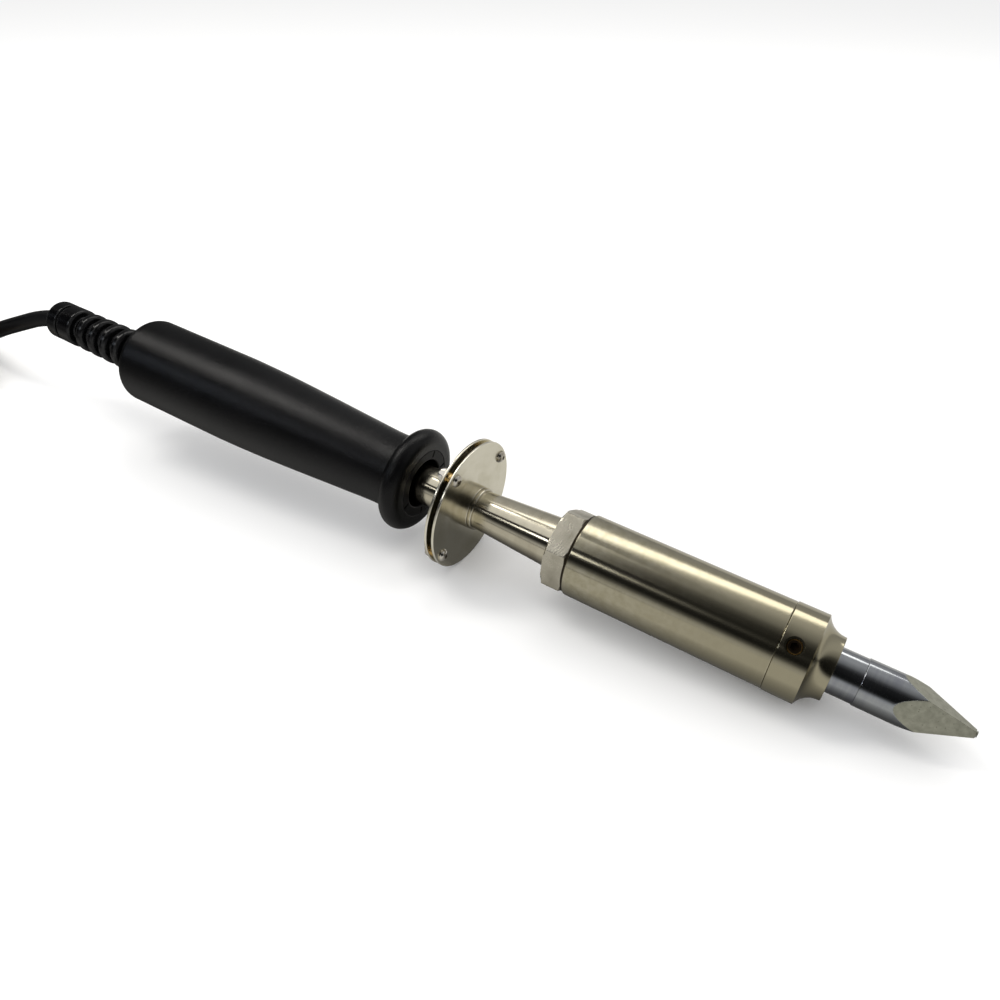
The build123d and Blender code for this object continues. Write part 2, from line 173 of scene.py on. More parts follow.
def arc(centre: Point, radius: float, start: float, end: float, steps: int) -> list[Point]:
    """Points on an arc in the outline's plane.

    Args:
        centre: Its (station, radius) centre.
        radius: Its radius.
        start: The first angle, from forward (0) to outward (90).
        end: The last angle.
        steps: Runs along the arc.

    Returns:
        (station, radius) points.
    """
    angles = np.radians(np.linspace(start, end, steps + 1))
    return [
        (centre[0] + radius * math.cos(a), centre[1] + radius * math.sin(a)) for a in angles
    ]


def flowing(points: Sequence[Point], steps: int = 12, lean: float = 0.0) -> list[Point]:
    """A smooth line through points, level at its far end.

    Args:
        points: (station, radius) points in order of station.
        steps: Runs between each two points.
        lean: The slope that the line starts with.

    Returns:
        The line's points, without the first and last ones.
    """
    x = np.array([p[0] for p in points])
    r = np.array([p[1] for p in points])
    slope = np.gradient(r, x)
    slope[0], slope[-1] = lean, 0.0
    line: list[Point] = []
    for i in range(len(points) - 1):
        width = x[i + 1] - x[i]
        for t in np.linspace(0, 1, steps, endpoint=False):
            bend = (1 + 2 * t) * (1 - t) ** 2 * r[i] + t * t * (3 - 2 * t) * r[i + 1]
            sway = t * (1 - t) ** 2 * slope[i] - t * t * (1 - t) * slope[i + 1]
            line.append((x[i] + t * width, bend + sway * width))
    return line[1:]


def many_sided(
    angles: np.ndarray, sides: int, apothem: float, phase: float, limit: float, crisp: float
) -> np.ndarray:
    """The radius of a many-sided bar turned down to a round one, with soft edges.

    Args:
        angles: Angles about the axis, in degrees.
        sides: How many flats.
        apothem: Distance from the axis to each flat.
        phase: The angle of one flat's middle.
        limit: The round bar's radius.
        crisp: How sharp the edges are; 60 is a worn edge and 400 a new one.

    Returns:
        A radius for each angle.
    """
    total = np.full_like(angles, limit**-crisp)
    for side in range(sides):
        facing = np.cos(np.radians(angles - phase - 360 * side / sides))
        total += (np.maximum(facing, 0.0) / apothem) ** crisp
    return total ** (-1 / crisp)


# ---- meshes -----------------------------------------------------------------------


def grid_mesh(
    name: str, points: np.ndarray, loop: bool, edge: np.ndarray | None = None
) -> bpy.types.Object:
    """A skin over rings of points, each ring closed on itself.

    Args:
        name: The piece's name.
        points: Rings by points by coordinates, in metres.
        loop: True joins the last ring to the first; False closes both ends.
        edge: How much of an edge each ring is, from 0 to 1.

    Returns:
        A new object.
    """
    rings, around, _ = points.shape
    index = np.arange(rings * around).reshape(rings, around)
    after = np.roll(index, -1, axis=0) if loop else index[1:]
    here = index if loop else index[:-1]
    quads = np.stack([here, np.roll(here, -1, 1), np.roll(after, -1, 1), after], axis=-1)
    faces = quads.reshape(-1, 4).tolist()
    if not loop:
        faces += [index[0][::-1].tolist(), index[-1].tolist()]
    mesh = bpy.data.meshes.new(name)
    mesh.from_pydata(points.reshape(-1, 3).tolist(), [], faces)
    if edge is not None:
        attribute = mesh.attributes.new("edge", "FLOAT", "POINT")
        attribute.data.foreach_set("value", np.repeat(edge, around).astype(np.float32))
    made = bpy.data.objects.new(name, mesh)
    bpy.context.scene.collection.objects.link(made)
    return made


def lathe(
    name: str,
    line: np.ndarray,
    around: int = 256,
    loop: bool = True,
    radius_at: Shape | None = None,
    sharp: float = 50.0,
) -> bpy.types.Object:
    """Turn an outline about the iron's axis.

    Args:
        name: The piece's name.
        line: Rows of station and radius, with or without edge.
        around: Faces around the axis.
        loop: True for a closed outline; False for one that ends at two faces.
        radius_at: Changes the radii, from rows of (station, radius) and the angles.
        sharp: Edges that turn by more degrees than this stay sharp.

    Returns:
        A new object, about the world's X axis.
    """
    line = np.asarray(line, float)
    angles = np.linspace(0, 360, around, endpoint=False)
    radii = np.repeat(line[:, 1:2], around, axis=1)
    if radius_at is not None:
        radii = radius_at(line[:, :2], angles)
    radii = np.maximum(radii, 0.0)
    spread = np.radians(angles)
    points = np.empty((len(line), around, 3))
    points[..., 0] = line[:, :1]
    points[..., 1] = radii * np.sin(spread)
    points[..., 2] = radii * np.cos(spread)
    edge = line[:, 2] if line.shape[1] > 2 else None
    made = grid_mesh(name, points * MM, loop, edge)
    return smooth(made, sharp)


def smooth(made: bpy.types.Object, sharp: float = 50.0) -> bpy.types.Object:
    """Clean a mesh, turn its faces outward and shade it smooth up to an angle.

    Args:
        made: The piece.
        sharp: Edges that turn by more degrees than this stay sharp.

    Returns:
        The same piece.
    """
    work = bmesh.new()
    work.from_mesh(made.data)
    bmesh.ops.remove_doubles(work, verts=work.verts, dist=1e-7)
    bmesh.ops.recalc_face_normals(work, faces=work.faces)
    limit = math.radians(sharp)
    for face in work.faces:
        face.smooth = True
    for side in work.edges:
        side.smooth = not (side.is_manifold and side.calc_face_angle(0.0) > limit)
    work.to_mesh(made.data)
    work.free()
    if not made.modifiers.get("normals"):
        shading = made.modifiers.new("normals", "WEIGHTED_NORMAL")
        shading.keep_sharp = True
    return made


def moved(made: bpy.types.Object, matrix: Matrix) -> bpy.types.Object:
    """Move a piece's mesh, keeping its object where it is.

    Args:
        made: The piece.
        matrix: The move.

    Returns:
        The same piece.
    """
    made.data.transform(matrix)
    return made


def about_axis(angle: float) -> Matrix:
    """The turn about the iron's axis that takes up (0) to an angle in degrees."""
    return Matrix.Rotation(-math.radians(angle), 4, "X")


def standing(station: float, angle: float) -> Matrix:
    """The place of a piece made along X that stands up from the iron's axis.

    Args:
        station: Where along the axis it stands.
        angle: Its angle about the axis.

    Returns:
        The matrix that takes its X away from the axis.
    """
    upright = Matrix.Rotation(-math.pi / 2, 4, "Y")
    return about_axis(angle) @ Matrix.Translation((station * MM, 0, 0)) @ upright


def bar(start: float, end: float, radius: float, around: int = 96) -> bpy.types.Object:
    """A round bar along X, used to cut with.

    Args:
        start: Its first station.
        end: Its last station.
        radius: Its radius.
        around: Faces around it.

    Returns:
        A new object.
    """
    return lathe("bar", np.array([(start, radius), (end, radius)]), around, loop=False)


def hex_key(across: float, start: float, end: float, phase: float, crisp: float) -> bpy.types.Object:
    """A hexagonal bar along X, used to cut sockets with.

    Args:
        across: Its size across the flats.
        start: Its first station.
        end: Its last station.
        phase: The angle of one flat's middle.
        crisp: How sharp its edges are, as many_sided() takes it.

    Returns:
        A new object.
    """

    def flats(rows: np.ndarray, angles: np.ndarray) -> np.ndarray:
        """The bar's radii."""
        return np.repeat(many_sided(angles, 6, across / 2, phase, 5.0, crisp)[None], len(rows), 0)

    return lathe("hex_key", np.array([(start, 1.0), (end, 1.0)]), 96, False, flats)


def repeated(made: bpy.types.Object, places: Iterable[Matrix]) -> bpy.types.Object:
    """Make one piece out of copies of a piece.

    Args:
        made: The piece to copy; its own mesh is only used for the copies.
        places: Where each copy goes.

    Returns:
        The same object, holding all the copies.
    """
    work = bmesh.new()
    for place in places:
        copy = made.data.copy()
        copy.transform(place)
        work.from_mesh(copy)
        bpy.data.meshes.remove(copy)
    work.to_mesh(made.data)
    work.free()
    return made


def joined(made: bpy.types.Object, *others: bpy.types.Object) -> bpy.types.Object:
    """Add other pieces' meshes to a piece and remove those pieces.

    Args:
        made: The piece that stays.
        others: The pieces that become part of it.

    Returns:
        The same piece.
    """
    work = bmesh.new()
    for part in (made, *others):
        work.from_mesh(part.data)
    work.to_mesh(made.data)
    work.free()
    for part in others:
        bpy.data.objects.remove(part)
    return made


def cut(made: bpy.types.Object, *tools: bpy.types.Object, sharp: float = 35.0) -> bpy.types.Object:
    """Cut tools out of a piece, and remove the tools.

    Args:
        made: The piece.
        tools: Closed meshes to take away.
        sharp: Edges that turn by more degrees than this stay sharp.

    Returns:
        The same piece.
    """
    made.modifiers.clear()
    for tool in tools:
        knife = made.modifiers.new("cut", "BOOLEAN")
        knife.operation, knife.solver, knife.object = "DIFFERENCE", "EXACT", tool
    bpy.context.view_layer.update()
    shown = made.evaluated_get(bpy.context.evaluated_depsgraph_get())
    result = bpy.data.meshes.new_from_object(shown)
    made.modifiers.clear()
    made.data = result
    for tool in tools:
        bpy.data.objects.remove(tool)
    return smooth(made, sharp)


def block(name: str, size: Point, centre: Point, bevel: float = 0.0) -> bpy.types.Object:
    """A box with bevelled edges.

    Args:
        name: The piece's name.
        size: Its three sizes.
        centre: Its middle.
        bevel: The bevel's width.

    Returns:
        A new object.
    """
    mesh = bpy.data.meshes.new(name)
    work = bmesh.new()
    bmesh.ops.create_cube(work, size=1.0)
    bmesh.ops.scale(work, vec=Vector(size) * MM, verts=work.verts)
    if bevel:
        bmesh.ops.bevel(
            work, geom=work.edges, offset=bevel * MM, segments=3, profile=0.5, affect="EDGES"
        )
    bmesh.ops.translate(work, vec=Vector(centre) * MM, verts=work.verts)
    work.to_mesh(mesh)
    work.free()
    made = bpy.data.objects.new(name, mesh)
    bpy.context.scene.collection.objects.link(made)
    return smooth(made, 30.0)


def placed(
    made: bpy.types.Object,
    finish: "Finish",
    slot: str,
    *nodes: str,
    body: str = "iron",
    matrix: Matrix | None = None,
) -> bpy.types.Object:
    """Put a piece in its place, dress it, hang it on its body and hide the CAD nodes it stands for.

    Args:
        made: The piece, with its mesh about the world's X axis.
        finish: Its finish.
        slot: Not used.
        nodes: The CAD nodes that it stands for.
        body: The CAD body that it rides on.
        matrix: Where it goes, if it isn't made about the iron's axis.

    Returns:
        The same piece.
    """
    made.matrix_world = AXIS.matrix if matrix is None else matrix
    made.data.materials.clear()
    made.data.materials.append(finish.material())
    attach(made, body)
    if nodes:
        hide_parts(*nodes)
    log.info("%s rides on %s", made.name, body)
    return made


def dressed(finish: "Finish", *nodes: str) -> None:
    """Give CAD nodes that keep their own shape a finish.

    Args:
        finish: The finish.
        nodes: The CAD nodes' names.
    """
    for node in nodes:
        kept = frame["nodes"][node]
        kept.data.materials.clear()
        kept.data.materials.append(finish.material())
        log.info("%s keeps its shape", node)


# ---- shader graphs ----------------------------------------------------------------


class Graph:
    """A node tree being built."""

    def __init__(self, tree: bpy.types.NodeTree) -> None:
        """Start on an empty tree."""
        self.tree = tree
        tree.nodes.clear()

    def link(self, source: Socket, target: Socket) -> None:
        """Join an output to an input."""
        self.tree.links.new(source, target)

    def add(self, kind: str, inputs: dict | None = None, **settings: object) -> bpy.types.Node:
        """Add a node.

        Args:
            kind: The node's type name.
            inputs: Values or sockets, by the input's name or number.
            settings: The node's own properties.

        Returns:
            The new node.
        """
        node = self.tree.nodes.new(kind)
        for key, value in settings.items():
            setattr(node, key, value)
        for key, value in (inputs or {}).items():
            if isinstance(value, Socket):
                self.link(value, node.inputs[key])
            else:
                node.inputs[key].default_value = value
        return node

    def math(self, operation: str, *values: object, clamp: bool = False) -> Socket:
        """Do a sum.

        Args:
            operation: The Math node's operation.
            values: Numbers or sockets.
            clamp: True keeps the result between 0 and 1.

        Returns:
            The result.
        """
        inputs = dict(enumerate(values))
        return self.add("ShaderNodeMath", inputs, operation=operation, use_clamp=clamp).outputs[0]

    def vector(self, operation: str, *values: object) -> Socket:
        """Do a sum on vectors.

        Args:
            operation: The Vector Math node's operation.
            values: Vectors or sockets.

        Returns:
            The resulting vector.
        """
        inputs = dict(enumerate(values))
        return self.add("ShaderNodeVectorMath", inputs, operation=operation).outputs[0]

    def scaled(self, vector: Socket, factor: object) -> Socket:
        """A vector times a number or a value socket."""
        inputs = {0: vector, 3: factor}
        return self.add("ShaderNodeVectorMath", inputs, operation="SCALE").outputs[0]

    def parts(self, vector: Socket) -> bpy.types.Node:
        """The node that splits a vector into X, Y and Z."""
        return self.add("ShaderNodeSeparateXYZ", {0: vector})

    def coordinates(self, kind: str) -> Socket:
        """The point being shaded, in one of the Texture Coordinate node's kinds."""
        return self.add("ShaderNodeTexCoord").outputs[kind]

    def noise(self, place: Socket, scale: float, detail: float = 2.0, rough: float = 0.5) -> Socket:
        """Smooth noise.

        Args:
            place: Where it is read.
            scale: Cycles per unit of place.
            detail: How many finer layers it has.
            rough: How strong each finer layer is.

        Returns:
            Its value.
        """
        inputs = {"Vector": place, "Scale": scale, "Detail": detail, "Roughness": rough}
        return self.add("ShaderNodeTexNoise", inputs).outputs["Fac"]

    def remap(
        self, value: Socket, low: float, high: float, start: float = 0.0, end: float = 1.0
    ) -> Socket:
        """Map a range to another, with clamped ends.

        Args:
            value: The value to map.
            low: Its value at the start.
            high: Its value at the end.
            start: The result for low.
            end: The result for high.

        Returns:
            The result.
        """
        inputs = {"Value": value, "From Min": low, "From Max": high, "To Min": start, "To Max": end}
        return self.add("ShaderNodeMapRange", inputs).outputs[0]

    def blend(self, share: float, first: Socket, second: Socket) -> Socket:
        """One value times a share, plus another times what is left of it."""
        most = self.math("MULTIPLY", first, share)
        return self.math("ADD", most, self.math("MULTIPLY", second, round(1 - share, 6)))

    def mix(self, factor: Socket, first: object, second: object) -> Socket:
        """Mix two colours.

        Args:
            factor: 0 for the first, 1 for the second.
            first: A colour or a socket.
            second: A colour or a socket.

        Returns:
            The mixed colour.
        """
        inputs = {0: factor, 6: first, 7: second}
        return self.add("ShaderNodeMix", inputs, data_type="RGBA").outputs[2]


def opaque(colour: Colour) -> tuple[float, float, float, float]:
    """A colour with its alpha."""
    return (*colour, 1.0)


class Effect(Enum):
    """The node groups that finishes share."""

    TURNING = "turning_marks"
    GRAIN = "moulded_grain"
    WEAR = "edge_wear"
    CLOUDS = "soft_clouds"
    SPECKS = "small_specks"


class EffectMaker:
    """Builds each shared node group once."""

    def __init__(self) -> None:
        """Say how each group is made."""
        self.makers: dict[Effect, Callable[[str], bpy.types.NodeTree]] = {
            Effect.TURNING: self.turning,
            Effect.GRAIN: self.grain,
            Effect.WEAR: self.wear,
            Effect.CLOUDS: self.clouds,
            Effect.SPECKS: self.specks,
        }

    def group(self, effect: Effect) -> bpy.types.NodeTree:
        """The effect's node group, made on first use."""
        return bpy.data.node_groups.get(effect.value) or self.makers[effect](effect.value)

    @staticmethod
    def _open(
        name: str, inputs: Sequence[tuple[str, float]], outputs: Sequence[str]
    ) -> tuple[Graph, bpy.types.Node, bpy.types.Node]:
        """Start a group.

        Args:
            name: The group's name.
            inputs: Each value input's name and default.
            outputs: Each value output's name.

        Returns:
            Its graph, its input node and its output node.
        """
        tree = bpy.data.node_groups.new(name, "ShaderNodeTree")
        tree.interface.new_socket("Place", in_out="INPUT", socket_type="NodeSocketVector")
        for label, value in inputs:
            socket = tree.interface.new_socket(label, in_out="INPUT", socket_type="NodeSocketFloat")
            socket.default_value = value
        for label in outputs:
            tree.interface.new_socket(label, in_out="OUTPUT", socket_type="NodeSocketFloat")
        graph = Graph(tree)
        return graph, graph.add("NodeGroupInput"), graph.add("NodeGroupOutput")

    def turning(self, name: str) -> bpy.types.NodeTree:
        """Fine lines around the axis, as a lathe tool or a polishing belt leaves them.

        Args:
            name: The group's name.

        Returns:
            The group, which puts out the lines' height and a slow tone along them.
        """
        graph, given, out = self._open(name, [("Lines", 4.0), ("Wander", 0.6)], ["Height", "Tone"])
        parts = graph.parts(given.outputs["Place"])
        across = {"Y": parts.outputs["Y"], "Z": parts.outputs["Z"]}
        flat = graph.add("ShaderNodeCombineXYZ", across).outputs[0]
        radius = graph.add("ShaderNodeVectorMath", {0: flat}, operation="LENGTH").outputs["Value"]
        wandering = graph.scaled(graph.vector("NORMALIZE", flat), given.outputs["Wander"])
        run = graph.math("ADD", parts.outputs["X"], radius)
        along = graph.math("MULTIPLY", run, given.outputs["Lines"])
        line = graph.vector("ADD", graph.add("ShaderNodeCombineXYZ", {"X": along}).outputs[0], wandering)
        graph.link(graph.noise(line, 1.0, 3.0, 0.65), out.inputs["Height"])
        slow = graph.vector("MULTIPLY", line, (0.13, 0.8, 0.8))
        graph.link(graph.noise(slow, 1.0, 2.0), out.inputs["Tone"])
        return graph.tree

    def grain(self, name: str) -> bpy.types.NodeTree:
        """The fine pebbled skin of moulded plastic or rubber.

        Args:
            name: The group's name.

        Returns:
            The group, which puts out the skin's height and a fine tone.
        """
        graph, given, out = self._open(name, [("Scale", 3.0)], ["Height", "Tone"])
        place = graph.scaled(given.outputs["Place"], given.outputs["Scale"])
        inputs = {"Vector": place, "Scale": 1.0, "Randomness": 1.0}
        cells = graph.add("ShaderNodeTexVoronoi", inputs, feature="SMOOTH_F1")
        fine = graph.noise(place, 2.3, 3.0, 0.6)
        pebbles = graph.math("MULTIPLY", cells.outputs["Distance"], 0.6)
        mixed = graph.math("ADD", pebbles, graph.math("MULTIPLY", fine, 0.7))
        graph.link(mixed, out.inputs["Height"])
        graph.link(fine, out.inputs["Tone"])
        return graph.tree

    def wear(self, name: str) -> bpy.types.NodeTree:
        """Where handling has rubbed the rounded edges.

        Args:
            name: The group's name.

        Returns:
            The group, which puts out a mask of the rubbed spots.
        """
        graph, given, out = self._open(name, [("Amount", 0.5), ("Scale", 0.4)], ["Mask"])
        edge = graph.add("ShaderNodeAttribute", attribute_name="edge").outputs["Fac"]
        place = graph.scaled(given.outputs["Place"], given.outputs["Scale"])
        patchy = graph.remap(graph.noise(place, 1.0, 4.0, 0.6), 0.35, 0.62)
        worn = graph.math("MULTIPLY", edge, patchy)
        mask = graph.math("MULTIPLY", worn, given.outputs["Amount"], clamp=True)
        graph.link(mask, out.inputs["Mask"])
        return graph.tree

    def clouds(self, name: str) -> bpy.types.NodeTree:
        """Large soft patches, as of handling, tarnish or uneven polish.

        Args:
            name: The group's name.

        Returns:
            The group, which puts out the patches' value.
        """
        graph, given, out = self._open(name, [("Scale", 0.1)], ["Value"])
        place = graph.scaled(given.outputs["Place"], given.outputs["Scale"])
        stirred = graph.add("ShaderNodeTexNoise", {"Vector": place, "Scale": 0.7}).outputs["Color"]
        bent = graph.vector("ADD", place, stirred)
        graph.link(graph.remap(graph.noise(bent, 1.0, 3.0, 0.55), 0.3, 0.7), out.inputs["Value"])
        return graph.tree

    def specks(self, name: str) -> bpy.types.NodeTree:
        """Sparse small spots, as of dust, pits or spatter.

        Args:
            name: The group's name.

        Returns:
            The group, which puts out a mask of the spots.
        """
        graph, given, out = self._open(name, [("Scale", 1.0), ("Size", 0.12)], ["Mask"])
        place = graph.scaled(given.outputs["Place"], given.outputs["Scale"])
        cells = graph.add("ShaderNodeTexVoronoi", {"Vector": place, "Scale": 1.0})
        chosen = graph.add("ShaderNodeSeparateColor", {0: cells.outputs["Color"]})
        near = graph.math("LESS_THAN", cells.outputs["Distance"], given.outputs["Size"])
        rare = graph.math("GREATER_THAN", chosen.outputs["Red"], 0.62)
        graph.link(graph.math("MULTIPLY", near, rare), out.inputs["Mask"])
        return graph.tree


EFFECTS = EffectMaker()


# ---- finishes ---------------------------------------------------------------------


@dataclass(frozen=True)
class Finish:
    """What every finish has: a name, a main colour and a roughness."""

    name: str
    colour: Colour
    roughness: float

    def material(self) -> bpy.types.Material:
        """The finish's material, made on first use.

        Returns:
            The material that every piece with this finish shares.
        """
        label = f"{self.name}_finish"
        found = bpy.data.materials.get(label)
        if found:
            return found
        made = bpy.data.materials.new(label)
        made.use_nodes = True
        graph = Graph(made.node_tree)
        inputs = {"Roughness": self.roughness, "Base Color": opaque(self.colour)}
        shader = graph.add("ShaderNodeBsdfPrincipled", inputs)
        graph.add("ShaderNodeOutputMaterial", {"Surface": shader.outputs[0]})
        self.paint(graph, shader)
        return made

    def paint(self, graph: Graph, shader: bpy.types.Node) -> None:
        """Add what the finish shows over the surface."""

    @staticmethod
    def place(graph: Graph) -> Socket:
        """The point on the piece, in millimetres."""
        return graph.scaled(graph.coordinates("Object"), 1 / MM)

    @staticmethod
    def effect(graph: Graph, effect: Effect, place: Socket, **values: float) -> dict[str, Socket]:
        """Place a shared effect with its own values.

        Args:
            graph: The material's graph.
            effect: Which effect.
            place: The point on the piece.
            values: The group's inputs by name.

        Returns:
            The group's outputs by name.
        """
        inputs = {"Place": place, **values}
        node = graph.add("ShaderNodeGroup", inputs, node_tree=EFFECTS.group(effect))
        return {socket.name: socket for socket in node.outputs}

    @staticmethod
    def bump(graph: Graph, height: Socket, depth: float, before: Socket | None = None) -> Socket:
        """Raise the surface a little.

        Args:
            graph: The material's graph.
            height: The height, from 0 to 1.
            depth: What 1 stands for, in millimetres.
            before: The normal of a bump that lies under this one.

        Returns:
            The new normal.
        """
        inputs = {"Height": height, "Distance": depth * MM, "Strength": 1.0}
        if before is not None:
            inputs["Normal"] = before
        return graph.add("ShaderNodeBump", inputs).outputs[0]


@dataclass(frozen=True)
class Metal(Finish):
    """Plated or plain metal, turned, milled or polished."""

    shade: Colour = (0.4, 0.37, 0.3)
    lines: float = 4.0
    wander: float = 0.6
    line_depth: float = 0.002
    ripple: float = 0.0
    pits: float = 0.0
    wear: float = 0.4
    worn: Colour = (0.86, 0.82, 0.72)
    spread: float = 0.06
    brushed: float = 0.0

    def paint(self, graph: Graph, shader: bpy.types.Node) -> None:
        """Add turning lines, uneven polish, tarnish and rubbed edges.

        Args:
            graph: The material's graph.
            shader: Its Principled BSDF.
        """
        place = self.place(graph)
        shader.inputs["Metallic"].default_value = 1.0
        if self.brushed:
            shader.inputs["Anisotropic"].default_value = self.brushed
            shader.inputs["Anisotropic Rotation"].default_value = 0.25
            around = graph.add("ShaderNodeTangent", direction_type="RADIAL", axis="X")
            graph.link(around.outputs[0], shader.inputs["Tangent"])
        turning = self.effect(graph, Effect.TURNING, place, Lines=self.lines, Wander=self.wander)
        clouds = self.effect(graph, Effect.CLOUDS, place, Scale=0.09)["Value"]
        wear = self.effect(graph, Effect.WEAR, place, Amount=self.wear, Scale=0.35)["Mask"]
        tone = graph.remap(graph.math("MULTIPLY", clouds, turning["Tone"]), 0.15, 0.6)
        surface = graph.mix(tone, opaque(self.colour), opaque(self.shade))
        surface = graph.mix(wear, surface, opaque(self.worn))
        low, high = max(self.roughness - self.spread, 0.02), self.roughness + self.spread
        rough = graph.remap(graph.blend(0.6, clouds, turning["Height"]), 0.2, 0.8, low, high)
        normal = self.bump(graph, turning["Height"], self.line_depth)
        if self.ripple:
            normal = self.bump(graph, graph.noise(place, 0.16, 1.0), self.ripple, normal)
        if self.pits:
            specks = self.effect(graph, Effect.SPECKS, place, Scale=0.9, Size=0.16)["Mask"]
            grain = self.effect(graph, Effect.GRAIN, place, Scale=1.6)["Height"]
            normal = self.bump(graph, grain, self.pits, normal)
            surface = graph.mix(graph.math("MULTIPLY", specks, 0.35), surface, opaque(self.shade))
        graph.link(surface, shader.inputs["Base Color"])
        graph.link(rough, shader.inputs["Roughness"])
        graph.link(normal, shader.inputs["Normal"])


@dataclass(frozen=True)
class Moulded(Finish):
    """Moulded plastic, rubber, ceramic or fibre."""

    shade: Colour = (0.02, 0.02, 0.022)
    grain: float = 3.0
    grain_depth: float = 0.03
    ripple: float = 0.0
    spread: float = 0.08
    dust: float = 0.1
    dust_colour: Colour = (0.35, 0.34, 0.33)
    wear: float = 0.2
    worn: Colour = (0.06, 0.06, 0.062)
    gloss: float = 0.5

    def paint(self, graph: Graph, shader: bpy.types.Node) -> None:
        """Add moulded grain, patchy sheen, a little dust and rubbed edges.

        Args:
            graph: The material's graph.
            shader: Its Principled BSDF.
        """
        place = self.place(graph)
        shader.inputs["Specular IOR Level"].default_value = self.gloss
        grain = self.effect(graph, Effect.GRAIN, place, Scale=self.grain)
        clouds = self.effect(graph, Effect.CLOUDS, place, Scale=0.06)["Value"]
        specks = self.effect(graph, Effect.SPECKS, place, Scale=0.55, Size=0.09)["Mask"]
        wear = self.effect(graph, Effect.WEAR, place, Amount=self.wear, Scale=0.3)["Mask"]
        surface = graph.mix(clouds, opaque(self.colour), opaque(self.shade))
        surface = graph.mix(wear, surface, opaque(self.worn))
        dusty = graph.math("MULTIPLY", specks, self.dust)
        surface = graph.mix(dusty, surface, opaque(self.dust_colour))
        low, high = self.roughness - self.spread, self.roughness + self.spread
        rough = graph.remap(graph.blend(0.55, clouds, grain["Tone"]), 0.25, 0.75, low, high)
        normal = self.bump(graph, grain["Height"], self.grain_depth)
        if self.ripple:
            normal = self.bump(graph, graph.noise(place, 0.11, 2.0), self.ripple, normal)
        graph.link(surface, shader.inputs["Base Color"])
        graph.link(rough, shader.inputs["Roughness"])
        graph.link(normal, shader.inputs["Normal"])


@dataclass(frozen=True)
class TipPlate(Metal):
    """The tip's plating, dull and grey-green with old tin on its ground facets."""

    tinned: Colour = (0.47, 0.47, 0.385)
    tinned_dark: Colour = (0.38, 0.38, 0.305)
    tinned_roughness: float = 0.45
    tin_depth: float = 0.03
    spot: Colour = (0.05, 0.045, 0.03)

    def paint(self, graph: Graph, shader: bpy.types.Node) -> None:
        """Add plating as on any metal, then the tinned facets over it.

        Args:
            graph: The material's graph.
            shader: Its Principled BSDF.
        """
        super().paint(graph, shader)
        place = self.place(graph)
        ground = graph.add("ShaderNodeAttribute", attribute_name="ground").outputs["Fac"]
        blotches = self.effect(graph, Effect.CLOUDS, place, Scale=0.55)["Value"]
        grain = self.effect(graph, Effect.GRAIN, place, Scale=2.4)["Height"]
        spots = self.effect(graph, Effect.SPECKS, place, Scale=0.8, Size=0.17)["Mask"]
        mask = graph.remap(ground, 0.3, 0.7)
        tin = graph.mix(blotches, opaque(self.tinned), opaque(self.tinned_dark))
        tin = graph.mix(graph.math("MULTIPLY", spots, 0.4), tin, opaque(self.spot))
        plate, rough, before = (
            shader.inputs[name].links[0].from_socket for name in ("Base Color", "Roughness", "Normal")
        )
        dull = graph.remap(blotches, 0.0, 1.0, self.tinned_roughness - 0.1, self.tinned_roughness)
        duller = graph.math("MULTIPLY", mask, graph.math("SUBTRACT", dull, rough))
        uneven = graph.math("MULTIPLY", mask, graph.math("ADD", grain, blotches))
        graph.link(graph.mix(mask, plate, tin), shader.inputs["Base Color"])
        graph.link(graph.math("ADD", rough, duller), shader.inputs["Roughness"])
        graph.link(self.bump(graph, uneven, self.tin_depth, before), shader.inputs["Normal"])


SATIN_NICKEL = Metal(
    "satin_nickel", (0.40, 0.367, 0.262), 0.17, shade=(0.385, 0.352, 0.25), lines=7.0,
    line_depth=0.0010, spread=0.006, brushed=0.75, wear=0.3, worn=(0.62, 0.59, 0.49),
)
STEM_NICKEL = Metal(
    "stem_nickel", (0.56, 0.52, 0.41), 0.15, shade=(0.48, 0.44, 0.34), lines=3.0, line_depth=0.003,
    spread=0.04, brushed=0.5,
)
POLISHED_NICKEL = Metal(
    "polished_nickel", (0.80, 0.76, 0.63), 0.22, shade=(0.70, 0.66, 0.52), lines=2.2,
    line_depth=0.0016, ripple=0.012, spread=0.05, wear=0.6, worn=(0.95, 0.92, 0.84),
)
MILLED_NICKEL = Metal(
    "milled_nickel", (0.54, 0.51, 0.425), 0.30, shade=(0.33, 0.305, 0.24), lines=1.8, wander=0.3,
    line_depth=0.045, pits=0.045, spread=0.1, wear=1.0, worn=(0.9, 0.87, 0.78),
)
SCREW_STEEL = Metal(
    "screw_steel", (0.62, 0.59, 0.53), 0.12, shade=(0.42, 0.38, 0.3), lines=6.0, line_depth=0.001,
)
SPACER_BRASS = Metal(
    "spacer_brass", (0.62, 0.44, 0.20), 0.2, shade=(0.45, 0.3, 0.12), lines=6.0,
    worn=(0.8, 0.62, 0.32),
)
TIP_PLATE = TipPlate(
    "tip_plate", (0.37, 0.385, 0.40), 0.15, shade=(0.26, 0.27, 0.31), lines=6.0, line_depth=0.001,
    wear=0.2, worn=(0.6, 0.62, 0.63), brushed=0.4,
)
TINTED_STEEL = Metal(
    "tinted_steel", (0.05, 0.04, 0.03), 0.3, shade=(0.09, 0.055, 0.025), lines=4.0, wear=1.0,
    worn=(0.55, 0.36, 0.15),
)
WASHER_BLACK = Metal(
    "washer_black", (0.05, 0.04, 0.028), 0.5, shade=(0.03, 0.026, 0.02), worn=(0.1, 0.08, 0.05),
)
CORE_STEEL = Metal(
    "core_steel", (0.34, 0.31, 0.27), 0.38, shade=(0.2, 0.15, 0.11), lines=3.0, pits=0.01,
)
